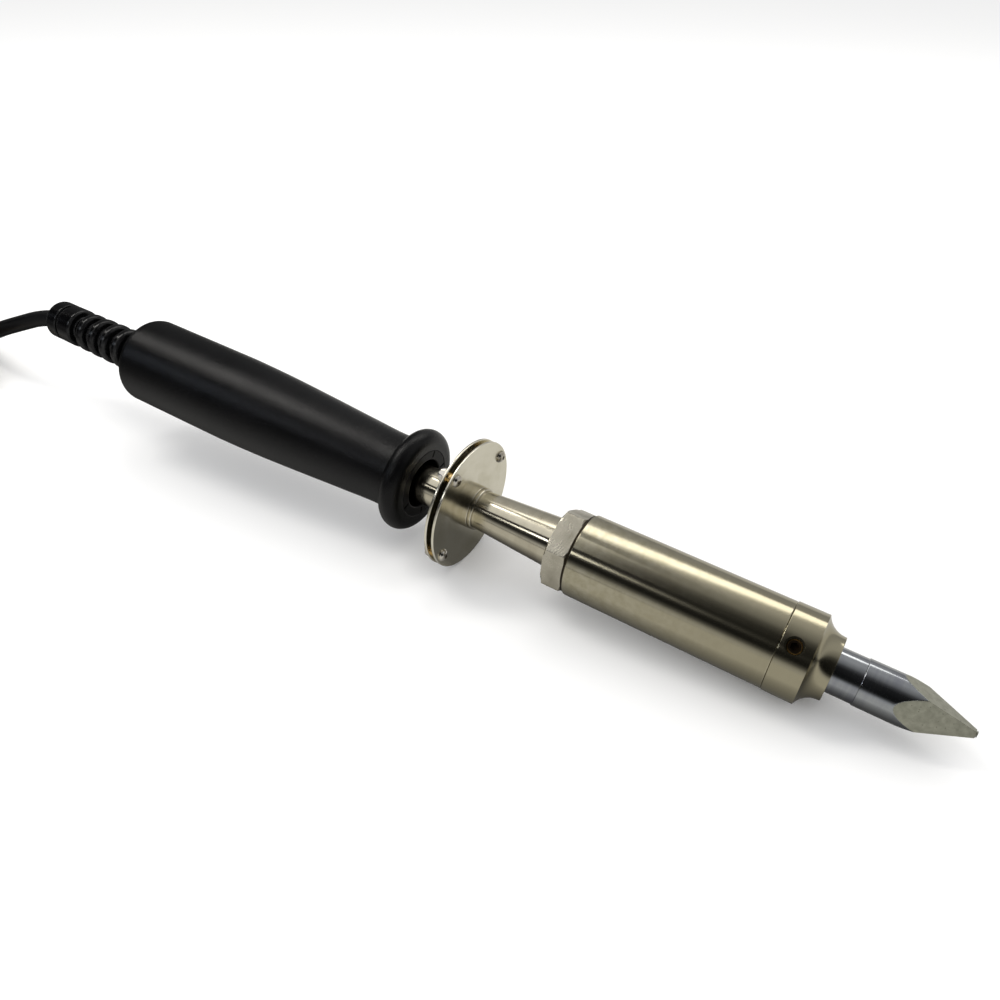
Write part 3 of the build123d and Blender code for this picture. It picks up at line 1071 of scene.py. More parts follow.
NICHROME = Metal("nichrome", (0.42, 0.39, 0.35), 0.35, shade=(0.25, 0.22, 0.2))
TERMINAL_BRASS = Metal(
    "terminal_brass", (0.66, 0.48, 0.22), 0.24, shade=(0.5, 0.35, 0.15), worn=(0.82, 0.65, 0.36),
)
LEAD_WIRE = Metal("lead_wire", (0.5, 0.47, 0.43), 0.3, shade=(0.35, 0.32, 0.28))
HANDLE_PLASTIC = Moulded(
    "handle_plastic", (0.0014, 0.0014, 0.0016), 0.2, shade=(0.0022, 0.0022, 0.0026), grain=2.0,
    grain_depth=0.09, ripple=0.08, spread=0.05, gloss=0.2, worn=(0.015, 0.015, 0.015), dust=0.03,
)
BUSHING_PLASTIC = Moulded(
    "bushing_plastic", (0.0014, 0.0014, 0.0016), 0.36, shade=(0.0022, 0.0022, 0.0024), grain=3.2,
    grain_depth=0.03, gloss=0.12, dust=0.04,
)
RELIEF_RUBBER = Moulded(
    "relief_rubber", (0.0014, 0.0014, 0.0016), 0.15, shade=(0.002, 0.002, 0.0022), grain=1.2,
    grain_depth=0.012, spread=0.05, gloss=0.3, dust=0.04,
)
CORD_RUBBER = Moulded(
    "cord_rubber", (0.003, 0.003, 0.0033), 0.35, shade=(0.0045, 0.0045, 0.005), grain=4.0,
    grain_depth=0.01, gloss=0.25, dust=0.05,
)
PLUG_RUBBER = Moulded(
    "plug_rubber", (0.005, 0.005, 0.0054), 0.36, shade=(0.008, 0.008, 0.0088), grain=3.0,
    grain_depth=0.02,
)
TIE_NYLON = Moulded(
    "tie_nylon", (0.02, 0.02, 0.021), 0.6, shade=(0.028, 0.028, 0.03), grain=2.2, grain_depth=0.08,
)
CERAMIC = Moulded(
    "ceramic", (0.68, 0.64, 0.56), 0.45, shade=(0.6, 0.55, 0.46), grain=4.0, grain_depth=0.02,
    worn=(0.75, 0.72, 0.66), dust_colour=(0.4, 0.36, 0.3),
)
MICA = Moulded(
    "mica", (0.42, 0.33, 0.2), 0.25, shade=(0.5, 0.42, 0.3), grain=1.0, grain_depth=0.03,
    worn=(0.6, 0.5, 0.36), dust_colour=(0.6, 0.52, 0.36),
)
PHENOLIC = Moulded(
    "phenolic", (0.16, 0.07, 0.03), 0.42, shade=(0.11, 0.045, 0.02), grain=2.2,
    worn=(0.24, 0.12, 0.06), dust_colour=(0.3, 0.2, 0.1),
)
CORE_INSULATION = Moulded(
    "core_insulation", (0.72, 0.71, 0.68), 0.5, shade=(0.64, 0.63, 0.6), grain=3.0,
    worn=(0.8, 0.8, 0.78),
)
GROUND_GREEN = Moulded(
    "ground_green", (0.03, 0.2, 0.05), 0.45, shade=(0.02, 0.15, 0.04), grain=3.0,
    worn=(0.1, 0.3, 0.1),
)


# ---- cord, hank and plug ----------------------------------------------------------


@dataclass
class PowerCord:
    """The free cord: from the strain relief along the bench, hanked, to its plug."""

    diameter: float = 7.6
    length: float = 1.8
    # The route on the bench: X from the baffle, Y, and height.
    route: tuple[Point, ...] = (
        (-231.37, 0.0, 42.09),
        (-244.5, -0.8, 40.0),
        (-262.0, -2.9, 33.4),
        (-281.0, -4.5, 26.0),
        (-301.0, -4.2, 16.5),
        (-322.0, 1.0, 8.2),
        (-345.0, 9.2, 4.2),
        (-370.0, 17.8, 3.8),
        (-400.0, 25.6, 3.8),
    )
    tail_route: tuple[Point, ...] = (
        (-407.0, -25.4, 35.6),
        (-391.0, -25.2, 29.4),
        (-375.0, -25.0, 18.4),
        (-359.0, -25.0, 13.0),
        (-346.0, -25.0, 12.9),
    )
    hank_centre: tuple[float, float] = (-470.0, 1.0)
    half_run: float = 38.0
    lift: float = 7.75
    pinch: float = 12.0
    # Half the width of the hank at each half turn, from the first far end on.
    half_widths: tuple[float, ...] = (27.6, 26.4, 27.3, 25.9, 26.8, 26.3, 27.5, 26.0, 26.9, 26.4)
    loop_steps: int = 8

    def hank_points(self) -> list[Point]:
        """The hank's turns, each lying on the one before it.

        Returns:
            Points from the near end of the first run to that of the last one.
        """
        centre_x, centre_y = self.hank_centre
        points: list[Point] = []
        halves = len(self.half_widths)
        for half in range(halves):
            outbound = half % 2 == 0
            side = 1.0 if outbound else -1.0
            wide = self.half_widths[half]
            wide_next = self.half_widths[min(half + 1, halves - 1)]
            floor = self.diameter / 2 + self.lift * (half // 2)
            for share in (1.0, 0.5, 0.0, -0.5, -1.0):
                squeeze = self.pinch * (1 - abs(share)) ** 1.5
                x = centre_x + side * share * self.half_run
                y = centre_y + side * (wide - squeeze)
                points.append((x, y, floor + self.climb(half, share)))
            if half == halves - 1:
                break
            stretch = 1 / math.cos(math.pi / 2 / self.loop_steps)
            for step in range(1, self.loop_steps):
                turn = step / self.loop_steps
                reach = (wide + (wide_next - wide) * turn) * stretch
                swing = math.pi * turn
                x = centre_x - side * (self.half_run + reach * math.sin(swing))
                y = centre_y + side * reach * math.cos(swing)
                points.append((x, y, floor + self.climb(half, -1.0 - 2 * turn)))
        return points

    def climb(self, half: int, share: float) -> float:
        """How far a strand has climbed to the next turn.

        Args:
            half: The half turn it is on.
            share: Where on it: 1 to -1 along the run, and on to -3 around the loop.

        Returns:
            The climb, from nothing to one strand's height.
        """
        if half % 2 == 0:
            return 0.0
        along = min(max((0.1 - share) / 3.1, 0.0), 1.0)
        return self.lift * along * along * (3 - 2 * along)

    def build(self) -> bpy.types.Object:
        """Returns:
            The cord.
        """
        shift = AXIS.datum.x / MM
        points = [*self.route, *self.hank_points(), *self.tail_route]
        curve = bpy.data.curves.new("cord", "CURVE")
        curve.dimensions = "3D"
        curve.resolution_u = 6
        curve.bevel_depth = self.diameter / 2 * MM
        curve.bevel_resolution = 6
        curve.use_fill_caps = True
        spline = curve.splines.new("NURBS")
        spline.points.add(len(points) - 1)
        for knot, (x, y, z) in zip(spline.points, points):
            knot.co = ((x + shift) * MM, y * MM, z * MM, 1.0)
        spline.order_u = 3
        spline.use_endpoint_u = True
        cord = bpy.data.objects.new("mains_cord", curve)
        bpy.context.scene.collection.objects.link(cord)
        placed(cord, CORD_RUBBER, "cord_rubber", "power_cord", "cord_hank", matrix=Matrix.Identity(4))
        extras = [CordTie().build(), *Plug().build()]
        return cord


# ---- handle -----------------------------------------------------------------------


@dataclass
class Handle:
    """The moulded handle with its rolled flange, front bushing and screw."""

    grip_radius: float = 18.5
    grip_front: float = -118.0
    crease: float = -0.02
    waist: tuple[Point, ...] = ((-99.0, 17.95), (-75.0, 16.7), (-52.0, 15.3), (-36.8, 14.55))
    neck_front: float = -31.8
    neck_fillet: float = 1.5
    flange_station: float = -26.0
    flange_ring: float = 16.05
    flange_round: float = 4.3
    rear_corner: float = 4.0
    rear_wall: float = 10.0
    tail_hole: float = 7.6
    bore: float = 12.4
    seat_radius: float = 13.4
    seat_depth: float = 6.5
    mouth_edge: float = 0.35
    slit_pairs: tuple[Point, ...] = ((56.5, 26.5), (-139.0, 31.5))
    slit_width: float = 0.75
    slit_radius: float = 11.9
    slit_length: float = 2.7
    slit_depth: float = 3.6
    screw_station: float = -66.0
    screw_angle: float = 180.0
    screw_slot: float = 0.8
    screw_hole: float = 1.85
    screw_recess: float = 3.3
    screw_seat: float = 14.4

    def outline(self) -> list[Point]:
        """The shell's closed outline, from the cord's hole around the outside.

        Returns:
            (station, radius) points.
        """
        whole = AXIS.extent("handle_shell")
        rear, front, edge = whole.rear, whole.front, self.mouth_edge
        neck_radius = self.waist[-1][1]
        grip = (self.grip_front, self.grip_radius)
        seat_rear = front - self.seat_depth
        corner = (rear + self.rear_corner, self.grip_radius - self.rear_corner)
        neck = (self.neck_front, neck_radius + self.neck_fillet)
        return [
            (rear, self.tail_hole),
            *arc(corner, self.rear_corner, 180, 90, 12),
            grip,
            *flowing([grip, *self.waist], 10, self.crease),
            self.waist[-1],
            *arc(neck, self.neck_fillet, -90, 0, 8),
            *arc((self.flange_station, self.flange_ring), self.flange_round, 180, 0, 32),
            *arc((front - edge, self.seat_radius + edge), edge, 0, -90, 4),
            (seat_rear, self.seat_radius),
            (seat_rear, self.bore),
            (rear + self.rear_wall, self.bore),
            (rear + self.rear_wall, self.tail_hole),
        ]

    def shell(self) -> None:
        """The handle's moulding, with the recess for its one screw."""
        made = lathe("handle_moulding", np.array(self.outline()), 320)
        place = standing(self.screw_station, self.screw_angle)
        inside, outside = self.bore - 3.4, self.grip_radius + 3.5
        hole = moved(bar(inside, outside, self.screw_hole), place)
        cut(made, hole, moved(bar(self.screw_seat, outside, self.screw_recess), place))
        placed(made, HANDLE_PLASTIC, "handle_plastic", "handle_shell")

    def bushing(self) -> None:
        """The ring in the handle's mouth, slit at both ends of its two tabs."""
        ring = AXIS.extent("front_bushing")
        corners = (
            (ring.rear, ring.inner), (ring.front, ring.inner, 0.5),
            (ring.front, ring.outer, 0.3), (ring.rear, ring.outer),
        )
        made = lathe("mouth_bushing", rounded(corners), 256)
        size = (2 * self.slit_depth, self.slit_width, self.slit_length)
        tools = []
        for middle, half in self.slit_pairs:
            for side in (-half, half):
                slit = block("slit", size, (ring.front, 0.0, self.slit_radius))
                tools.append(moved(slit, about_axis(middle + side)))
        placed(cut(made, *tools), BUSHING_PLASTIC, "bushing_plastic", "front_bushing")

    def screw(self) -> None:
        """The slotted screw underneath that holds the rear stem bushing."""
        corners = (
            (8.2, 0.0), (8.2, 1.7), (14.5, 1.7), (14.5, 3.0, 0.2), (15.9, 3.0, 0.6), (15.9, 0.0),
        )
        made = lathe("handle_fixing_screw", rounded(corners), 96)
        slot = block("slot", (1.2, self.screw_slot, 8.0), (15.7, 0.0, 0.0))
        moved(cut(made, slot), standing(self.screw_station, self.screw_angle))
        placed(made, SCREW_STEEL, "screw_steel", "handle_screw")

    def build(self) -> None:
        """Make the handle's pieces and dress its inner ones."""
        self.shell()
        self.bushing()
        self.screw()
        dressed(PHENOLIC, "stem_bushing_front", "stem_bushing_rear")


# ---- stem and baffle --------------------------------------------------------------


@dataclass
class Stem:
    """The nickelled stem tube, flared towards the barrel, and its two collars."""

    radius: float = 7.45
    bore: float = 6.2
    flare_start: float = 5.0
    flare_end: float = 37.0
    flare_radius: float = 9.45
    neck_radius: float = 9.6
    front_bore: float = 7.8
    flange_thickness: float = 2.08
    groove: float = 0.3

    def tube(self) -> None:
        """The tube, from inside the handle to the flange in the barrel."""
        whole = AXIS.extent("stem_tube")
        flange_rear = whole.front - self.flange_thickness
        corners = (
            (whole.rear, self.bore), (self.flare_start, self.bore), (self.flare_end, self.front_bore),
            (whole.front, self.front_bore, 0.3), (whole.front, whole.outer, 0.3),
            (flange_rear, whole.outer, 0.3), (flange_rear, self.neck_radius),
            (self.flare_end, self.neck_radius), (self.flare_end, self.flare_radius),
            (self.flare_start, self.radius, 12.0), (whole.rear, self.radius, 0.3),
        )
        made = lathe("stem_tubing", rounded(corners, 8), 256)
        placed(made, STEM_NICKEL, "polished_nickel", "stem_tube")

    def collars(self) -> None:
        """The stepped collar in front of the baffle and the plain one behind it."""
        front = AXIS.extent("front_collar")
        step, top = front.front - 1.3, front.outer
        corners = (
            (front.rear, front.inner), (front.rear, top), (step - 0.35, top, 0.3),
            (step - 0.35, top - 0.55), (step, top - 0.55), (step, top - 0.1, 0.25),
            (front.front, top - 0.1, 0.5), (front.front, front.inner, 0.1),
        )
        made = lathe("collar_front", rounded(corners, 4, 0.1), 192)
        placed(made, STEM_NICKEL, "polished_nickel", "front_collar")
        rear = AXIS.extent("rear_collar")
        corners = (
            (rear.rear, rear.inner), (rear.rear, rear.outer, 0.9),
            (rear.front, rear.outer, 0.2), (rear.front, rear.inner),
        )
        made = lathe("collar_rear", rounded(corners, 6, 0.1), 192)
        placed(made, STEM_NICKEL, "polished_nickel", "rear_collar")

    def build(self) -> None:
        """Make the stem's pieces."""
        self.tube()
        self.collars()


@dataclass
class Baffle:
    """Two polished discs held apart by spacers, with screws and nuts."""

    rim: float = 0.3
    screws: int = 4
    first_angle: float = -31.0
    circle: float = 21.8
    head_radius: float = 2.4
    head_height: float = 1.6
    socket: float = 1.5
    socket_depth: float = 1.0
    nut_across_flats: float = 4.8
    nut_height: float = 2.2
    shank: float = 1.25
    spacer_radius: float = 2.0

    def places(self) -> list[Matrix]:
        """Find each screw's place, for pieces made along X on the axis.

        Returns:
            One matrix for each screw.
        """
        lift = Matrix.Translation((0, 0, self.circle * MM))
        angles = [self.first_angle + 360 * k / self.screws for k in range(self.screws)]
        return [about_axis(angle) @ lift for angle in angles]

    def discs(self) -> None:
        """The two discs, with softly rolled rims."""
        for end in ("front", "rear"):
            disc = AXIS.extent(f"baffle_{end}_disc")
            corners = (
                (disc.rear, disc.inner), (disc.rear, disc.outer, self.rim),
                (disc.front, disc.outer, self.rim), (disc.front, disc.inner),
            )
            made = lathe(f"heat_disc_{end}", rounded(corners, 6, 0.15), 384)
            placed(made, POLISHED_NICKEL, "polished_nickel", f"baffle_{end}_disc")

    def spacers(self) -> None:
        """The brass spacers that hold the discs apart."""
        rear = AXIS.extent("baffle_rear_disc").front
        front = AXIS.extent("baffle_front_disc").rear
        wide = self.spacer_radius
        corners = ((rear, self.shank), (rear, wide, 0.15), (front, wide, 0.15), (front, self.shank))
        made = repeated(lathe("disc_spacers", rounded(corners), 64), self.places())
        placed(made, SPACER_BRASS, "spacer_brass", "baffle_spacers")

    def socket_screws(self) -> None:
        """The domed screws, with hexagon sockets in their heads."""
        tail = AXIS.extent("baffle_screws").rear
        top, wide, shank, brim = self.head_height, self.head_radius, self.shank, 0.4
        line = [
            (tail, 0.0), (tail, shank - 0.3), (tail + 0.3, shank), (0.0, shank), (0.0, wide),
            (brim - 0.1, wide), (brim, wide - 0.12),
        ]
        for angle in np.linspace(0.1, 1.45, 12):
            crown = (top - brim) * math.sin(angle)
            line.append((brim + crown, (wide - 0.25) * math.cos(angle)))
        screw = lathe("disc_screws", np.array([*line, (top, 0.0)]), 96)
        socket = hex_key(self.socket, top - self.socket_depth, top + 1.0, 30.0, 60.0)
        made = repeated(cut(screw, socket), self.places())
        placed(made, SCREW_STEEL, "screw_steel", "baffle_screws")

    def nuts(self) -> None:
        """The nuts behind the rear disc."""
        front = AXIS.extent("baffle_rear_disc").rear
        rear, half = front - self.nut_height, self.nut_across_flats / 2
        corner = half / math.cos(math.pi / 6)
        corners = (
            (rear, self.shank), (rear, corner - 0.25), (rear + 0.35, corner + 0.05),
            (front, corner + 0.05), (front, self.shank),
        )
        nut = lathe("disc_nuts", rounded(corners), 96, True, self.nut_shape)
        placed(repeated(nut, self.places()), SCREW_STEEL, "screw_steel", "baffle_nuts")

    def nut_shape(self, rows: np.ndarray, angles: np.ndarray) -> np.ndarray:
        """The nuts' radii: six flats outside and a round hole.

        Args:
            rows: Rows of station and radius.
            angles: Angles about the nut's axis.

        Returns:
            A radius for each row and angle.
        """
        radii = np.repeat(rows[:, 1:2], len(angles), axis=1)
        half = self.nut_across_flats / 2
        for i in np.flatnonzero(rows[:, 1] > half * 0.9):
            radii[i] = many_sided(angles, 6, half, 0.0, rows[i, 1], 160.0)
        return radii

    def build(self) -> None:
        """Make the baffle's pieces."""
        self.discs()
        self.spacers()
        self.socket_screws()
        self.nuts()


# ---- nut, barrel and nose cap -----------------------------------------------------


@dataclass(frozen=True)
class Thread:
    """A screw thread that runs about the iron's axis."""

    pitch: float = 1.5
    depth: float = 0.7
    flank_share: float = 0.8

    def depth_at(self, stations: np.ndarray, angles: np.ndarray) -> np.ndarray:
        """How far the thread is below its crest.

        Args:
            stations: A column of stations.
            angles: A row of angles.

        Returns:
            The depth at each station and angle.
        """
        phase = (stations / self.pitch - angles[None, :] / 360.0) % 1.0
        wave = np.abs(2 * phase - 1)
        return self.depth * np.clip((wave - 0.1) / self.flank_share, 0.0, 1.0)


THREAD = Thread()


@dataclass
class HexNut:
    """The rough-milled nut that draws the stem's flange into the barrel."""

    across_flats: float = 27.0
    angle: float = -28.6
    body_front: float = 45.4
    spigot_radius: float = 13.6
    chamfer: float = 1.6
    crisp: float = 240.0
    thread_step: float = 0.12

    def nut(self) -> None:
        """The nut's hexagon and its threaded spigot."""
        whole = AXIS.extent("hex_nut")
        half = self.across_flats / 2
        corner = half / math.cos(math.pi / 6)
        corners = (
            (whole.rear, whole.inner, 0.4), (whole.rear, corner - self.chamfer, 0.3),
            (whole.rear + 0.9, corner + 0.1, 0.3), (self.body_front - 0.6, corner + 0.1, 0.3),
            (self.body_front, corner - 0.9, 0.3), (self.body_front, self.spigot_radius - 0.8),
        )
        line = rounded(corners, 5)[:, :2]
        # Rings along the flats, so that their shading stays even.
        flats = np.arange(line[:, 0].min() + 2.0, self.body_front - 1.5, 1.0)
        split = np.flatnonzero((line[:, 0] < flats[0]) & (line[:, 1] > corner))[-1] + 1
        along = [(x, corner + 0.1) for x in flats]
        stations = np.arange(self.body_front + 0.3, whole.front - 0.4, self.thread_step)
        turns = [(x, self.spigot_radius) for x in stations]
        nose = [(whole.front, self.spigot_radius - 0.9), (whole.front, whole.inner)]
        rows = np.array([*line[:split], *along, *line[split:], *turns, *nose])
        made = lathe("clamp_nut", rows, 288, True, self.shape, 40.0)
        placed(made, MILLED_NICKEL, "milled_nickel", "hex_nut", body="hex_nut")

    def shape(self, rows: np.ndarray, angles: np.ndarray) -> np.ndarray:
        """The nut's radii: six flats behind, a thread in front.

        Args:
            rows: Rows of station and radius.
            angles: Angles about the axis.

        Returns:
            A radius for each row and angle.
        """
        radii = np.repeat(rows[:, 1:2], len(angles), axis=1)
        for i, (station, radius) in enumerate(rows):
            if station < self.body_front + 0.01 and radius > self.spigot_radius * 0.97:
                radii[i] = many_sided(angles, 6, self.across_flats / 2, self.angle, radius, self.crisp)
        threaded = (rows[:, 0] > self.body_front + 0.2) & (rows[:, 1] == self.spigot_radius)
        radii[threaded] -= THREAD.depth_at(rows[threaded][:, :1], angles)
        return radii

    def washer(self) -> None:
        """The black washer between the nut and the barrel."""
        ring = AXIS.extent("nut_washer")
        corners = (
            (ring.rear, ring.inner), (ring.rear, ring.outer, 0.2),
            (ring.front, ring.outer, 0.2), (ring.front, ring.inner),
        )
        made = lathe("fibre_washer", rounded(corners), 192)
        placed(made, WASHER_BLACK, "washer_black", "nut_washer", body="nut_washer")

    def build(self) -> None:
        """Make the nut and its washer."""
        self.nut()
        self.washer()


@dataclass
class Barrel:
    """The satin barrel casing, threaded inside its rear end."""

    edge: float = 0.35
    shoulder_radius: float = 11.9
    shoulder_rear: float = 53.02
    shoulder_front: float = 55.6
    thread_step: float = 0.14
    thread_clearance: float = 0.1

    def build(self) -> None:
        """Turn the casing."""
        whole = AXIS.extent("barrel_casing")
        bore = AXIS.extent("nut_washer").inner
        crest = bore + self.thread_clearance
        outside = rounded(
            (
                (whole.rear, bore + 0.8, 0.1), (whole.rear, whole.outer, self.edge),
                (whole.front, whole.outer, self.edge), (whole.front, bore),
                (self.shoulder_front, bore), (self.shoulder_front, self.shoulder_radius),
                (self.shoulder_rear, self.shoulder_radius), (self.shoulder_rear, crest),
            ),
            6,
        )
        stations = np.arange(self.shoulder_rear - 0.6, whole.rear + 0.5, -self.thread_step)
        turns = np.column_stack([stations, np.full_like(stations, crest), np.zeros_like(stations)])
        made = lathe("barrel_sleeve", np.concatenate([outside, turns]), 320, True, self.shape, 40.0)
        placed(made, SATIN_NICKEL, "satin_nickel", "barrel_casing")

    def shape(self, rows: np.ndarray, angles: np.ndarray) -> np.ndarray:
        """The casing's radii, with the thread inside its rear end.

        Args:
            rows: Rows of station and radius.
            angles: Angles about the axis.

        Returns:
            A radius for each row and angle.
        """
        radii = np.repeat(rows[:, 1:2], len(angles), axis=1)
        crest = rows[-1, 1]
        threaded = (rows[:, 1] == crest) & (rows[:, 0] < self.shoulder_rear - 0.3)
        radii[threaded] += THREAD.depth - THREAD.depth_at(rows[threaded][:, :1], angles)
        return radii


@dataclass
class NoseCap:
    """The nose cap with its cove, and the socket screw that holds the tip."""

    rear: float = 118.2
    spigot_rear: float = 110.0
    inner_shoulder: float = 118.0
    lining: float = 12.0
    cove: float = 7.0
    cove_lip: float = 0.3
    ring_radius: float = 10.8
    screw_station: float = 122.7
    screw_angle: float = -40.0
    screw_radius: float = 2.5
    screw_bottom: float = 7.77
    screw_top: float = 13.9
    screw_clearance: float = 0.05
    counterbore: float = 3.1
    counterbore_floor: float = 13.7
    socket: float = 2.5
    socket_depth: float = 2.6

    def cap(self) -> None:
        """The turned cap, drilled for its set screw."""
        whole = AXIS.extent("nose_cap")
        spigot = AXIS.extent("nut_washer").inner - 0.02
        bore = whole.inner
        centre = (whole.front - self.cove_lip, self.ring_radius + self.cove)
        rise = math.degrees(math.asin((centre[1] - whole.outer) / self.cove))
        cove = arc(centre, self.cove, -90, -180 + rise, 28)
        lip, edge = 0.12, 0.3
        line = [
            (whole.front, bore + edge),
            (whole.front, self.ring_radius - lip),
            *arc((whole.front - lip, self.ring_radius - lip), lip, 0, 90, 3),
            *cove,
            (cove[-1][0] - 0.25, whole.outer),
            *arc((self.rear + edge, whole.outer - edge), edge, 90, 180, 5),
            (self.rear, spigot),
            (self.spigot_rear, spigot),
            (self.spigot_rear, self.lining),
            (self.inner_shoulder, self.lining),
            (self.inner_shoulder, bore),
            *arc((whole.front - edge, bore + edge), edge, -90, -10, 4),
        ]
        made = lathe("nose_turning", np.array(line), 384)
        place = standing(self.screw_station, self.screw_angle)
        hole = moved(bar(6.0, 20.0, self.screw_radius + self.screw_clearance), place)
        mouth = moved(bar(self.counterbore_floor, 20.0, self.counterbore), place)
        placed(cut(made, hole, mouth), SATIN_NICKEL, "satin_nickel", "nose_cap")

    def set_screw(self) -> None:
        """The hexagon-socket screw."""
        top, wide = self.screw_top, self.screw_radius
        rows = np.array([
            (self.screw_bottom, 0.0, 0.0),
            (self.screw_bottom, wide - 0.6, 0.0),
            *((x, wide, 0.0) for x in np.arange(self.screw_bottom + 0.5, top - 0.5, 0.1)),
            (top - 0.35, wide, 1.0),
            (top, wide - 0.35, 1.0),
            (top, wide - 0.6, 0.0),
            (top, 0.0, 0.0),
        ])
        made = lathe("tip_clamp_screw", rows, 96, True, self.screw_shape, 40.0)
        socket = hex_key(self.socket, top - self.socket_depth, top + 1.0, 0.0, 90.0)
        moved(cut(made, socket), standing(self.screw_station, self.screw_angle))
        placed(made, TINTED_STEEL, "tinted_steel", "set_screw", body="set_screw")

    def screw_shape(self, rows: np.ndarray, angles: np.ndarray) -> np.ndarray:
        """The screw's radii, with its fine thread.

        Args:
            rows: Rows of station and radius.
            angles: Angles about the screw's axis.

        Returns:
            A radius for each row and angle.
        """
        radii = np.repeat(rows[:, 1:2], len(angles), axis=1)
        fine = Thread(0.8, 0.35)
        threaded = (rows[:, 1] == self.screw_radius) & (rows[:, 0] < self.screw_top - 0.4)
        radii[threaded] -= fine.depth_at(rows[threaded][:, :1], angles)
        return radii

    def build(self) -> None:
        """Make the cap and its screw."""
        self.cap()
        self.set_screw()


# ---- tip --------------------------------------------------------------------------


@dataclass
class Tip:
    """The plug tip: a plain shank, a plated working end and a four-sided point."""

    shank_radius: float = 7.67
    plated_radius: float = 7.92
    plating_start: float = 143.9
    facet_start: float = 152.0
    facet_slope: float = 0.294
    end_half_width: float = 0.95
    facet_angle: float = -67.5
    crisp: float = 260.0
    end_round: float = 0.35
    facet_step: float = 0.3

    def build(self) -> None:
        """Turn the bar and grind its four facets."""
        whole = AXIS.extent("soldering_tip")
        end = whole.front
        step = self.plating_start
        rear, shank, plated = whole.rear, self.shank_radius, self.plated_radius
        line: list[Point] = [
            (rear, 0.0), (rear, shank - 0.8), (rear + 0.8, shank), (rear + 1.2, shank),
            (step - 0.2, shank), (step, shank), (step + 0.08, plated - 0.06), (step + 0.3, plated),
        ]
        stations = np.arange(self.facet_start, end - self.end_round, self.facet_step)
        line += [(x, plated) for x in stations]
        line += arc((end - self.end_round, plated), self.end_round, 80, 0, 4)
        line += [(end, 0.0)]
        made = lathe("plug_tip", np.array(line), 512, True, self.shape, 60.0)
        self.mark_facets(made.data)
        placed(made, TIP_PLATE, "tip_plate", "soldering_tip", body="tip")

    def mark_facets(self, mesh: bpy.types.Mesh) -> None:
        """Note which points are on the ground facets, for the finish.

        Args:
            mesh: The tip's mesh.
        """
        points = np.empty(len(mesh.vertices) * 3)
        mesh.vertices.foreach_get("co", points)
        points = points.reshape(-1, 3) / MM
        radii = np.hypot(points[:, 1], points[:, 2])
        ground = (points[:, 0] > self.facet_start) & (radii < self.plated_radius - 0.03)
        attribute = mesh.attributes.new("ground", "FLOAT", "POINT")
        attribute.data.foreach_set("value", ground.astype(np.float32))

    def shape(self, rows: np.ndarray, angles: np.ndarray) -> np.ndarray:
        """The bar's radii, with its four ground facets.

        Args:
            rows: Rows of station and radius.
            angles: Angles about the axis.

        Returns:
            A radius for each row and angle.
        """
        radii = np.repeat(rows[:, 1:2], len(angles), axis=1)
        end = rows[:, 0].max()
        for i, (station, radius) in enumerate(rows):
            if station < self.facet_start - 1.0 or radius == 0.0:
                continue
            short = max(radius - self.plated_radius, 0.0)
            back = self.end_half_width + self.facet_slope * (end - station) - short
            limit = min(radius, self.plated_radius)
            radii[i] = many_sided(angles, 4, back, self.facet_angle, limit, self.crisp)
        return radii


# ---- inner parts ------------------------------------------------------------------


@dataclass
class Inside:
    """The element and the wiring, which keep the shapes they are made in."""

    finishes: tuple[tuple[Finish, tuple[str, ...]], ...] = (
        (CORE_STEEL, ("heater_core",)),
        (MICA, ("inner_mica_sleeve", "outer_mica_sleeve")),
        (NICHROME, ("heater_winding",)),
        (CERAMIC, ("rear_insulator", "lead_sleeves", "terminal_block")),
        (LEAD_WIRE, ("element_leads",)),
        (GROUND_GREEN, ("ground_lead",)),
        (TERMINAL_BRASS, ("terminal_barrels", "terminal_screws")),
        (CORE_INSULATION, ("cord_cores",)),
        (CORD_RUBBER, ("cord_jacket_end",)),
        (BUSHING_PLASTIC, ("cord_clamp",)),
    )

    def build(self) -> None:
        """Dress each node in its finish."""
        for finish, nodes in self.finishes:
            dressed(finish, *nodes)


# ---- strain relief ----------------------------------------------------------------


@dataclass
class StrainRelief:
    """The moulded relief: a tail cap, five ribs and the flange inside the handle."""

    tail_radius: float = 8.7
    groove_radius: float = 5.7
    ribs: int = 5
    first_rib: float = -209.2
    pitch: float = 7.9
    half_rib: float = 2.3
    growth: float = 0.14
    handle_rear: float = -172.0
    flange_rear: float = -161.98
    flange_front: float = -159.0
    neck_radius: float = 7.5

    def build(self) -> None:
        """Turn the relief."""
        whole = AXIS.extent("strain_relief")
        rear, tail, groove = whole.rear, self.tail_radius, self.groove_radius
        corners: list[Point] = [
            (rear, whole.inner, 0.5), (rear, tail, 1.5), (rear + 6.6, tail, 0.5),
            (rear + 6.9, tail - 1.0, 0.2), (rear + 8.0, tail - 1.0, 0.2), (rear + 8.3, tail, 0.5),
            (rear + 16.2, tail + 0.1, 1.1), (rear + 16.6, groove, 0.5),
        ]
        for k in range(self.ribs):
            middle, top = self.first_rib + k * self.pitch, tail + 0.1 + self.growth * k
            half = self.half_rib
            corners += [
                (middle - half, groove, 0.5), (middle - half + 0.3, top, 1.5),
                (middle + half - 0.3, top, 1.5), (middle + half, groove, 0.5),
            ]
        corners += [
            (self.handle_rear - 0.2, groove + 0.4), (self.handle_rear - 0.2, self.neck_radius),
            (self.flange_rear, self.neck_radius), (self.flange_rear, whole.outer),
            (self.flange_front, whole.outer), (self.flange_front, whole.inner),
        ]
        made = lathe("cord_relief", rounded(corners, 8, 0.12), 192)
        placed(made, RELIEF_RUBBER, "relief_rubber", "strain_relief")


# ---- tie and plug -----------------------------------------------------------------


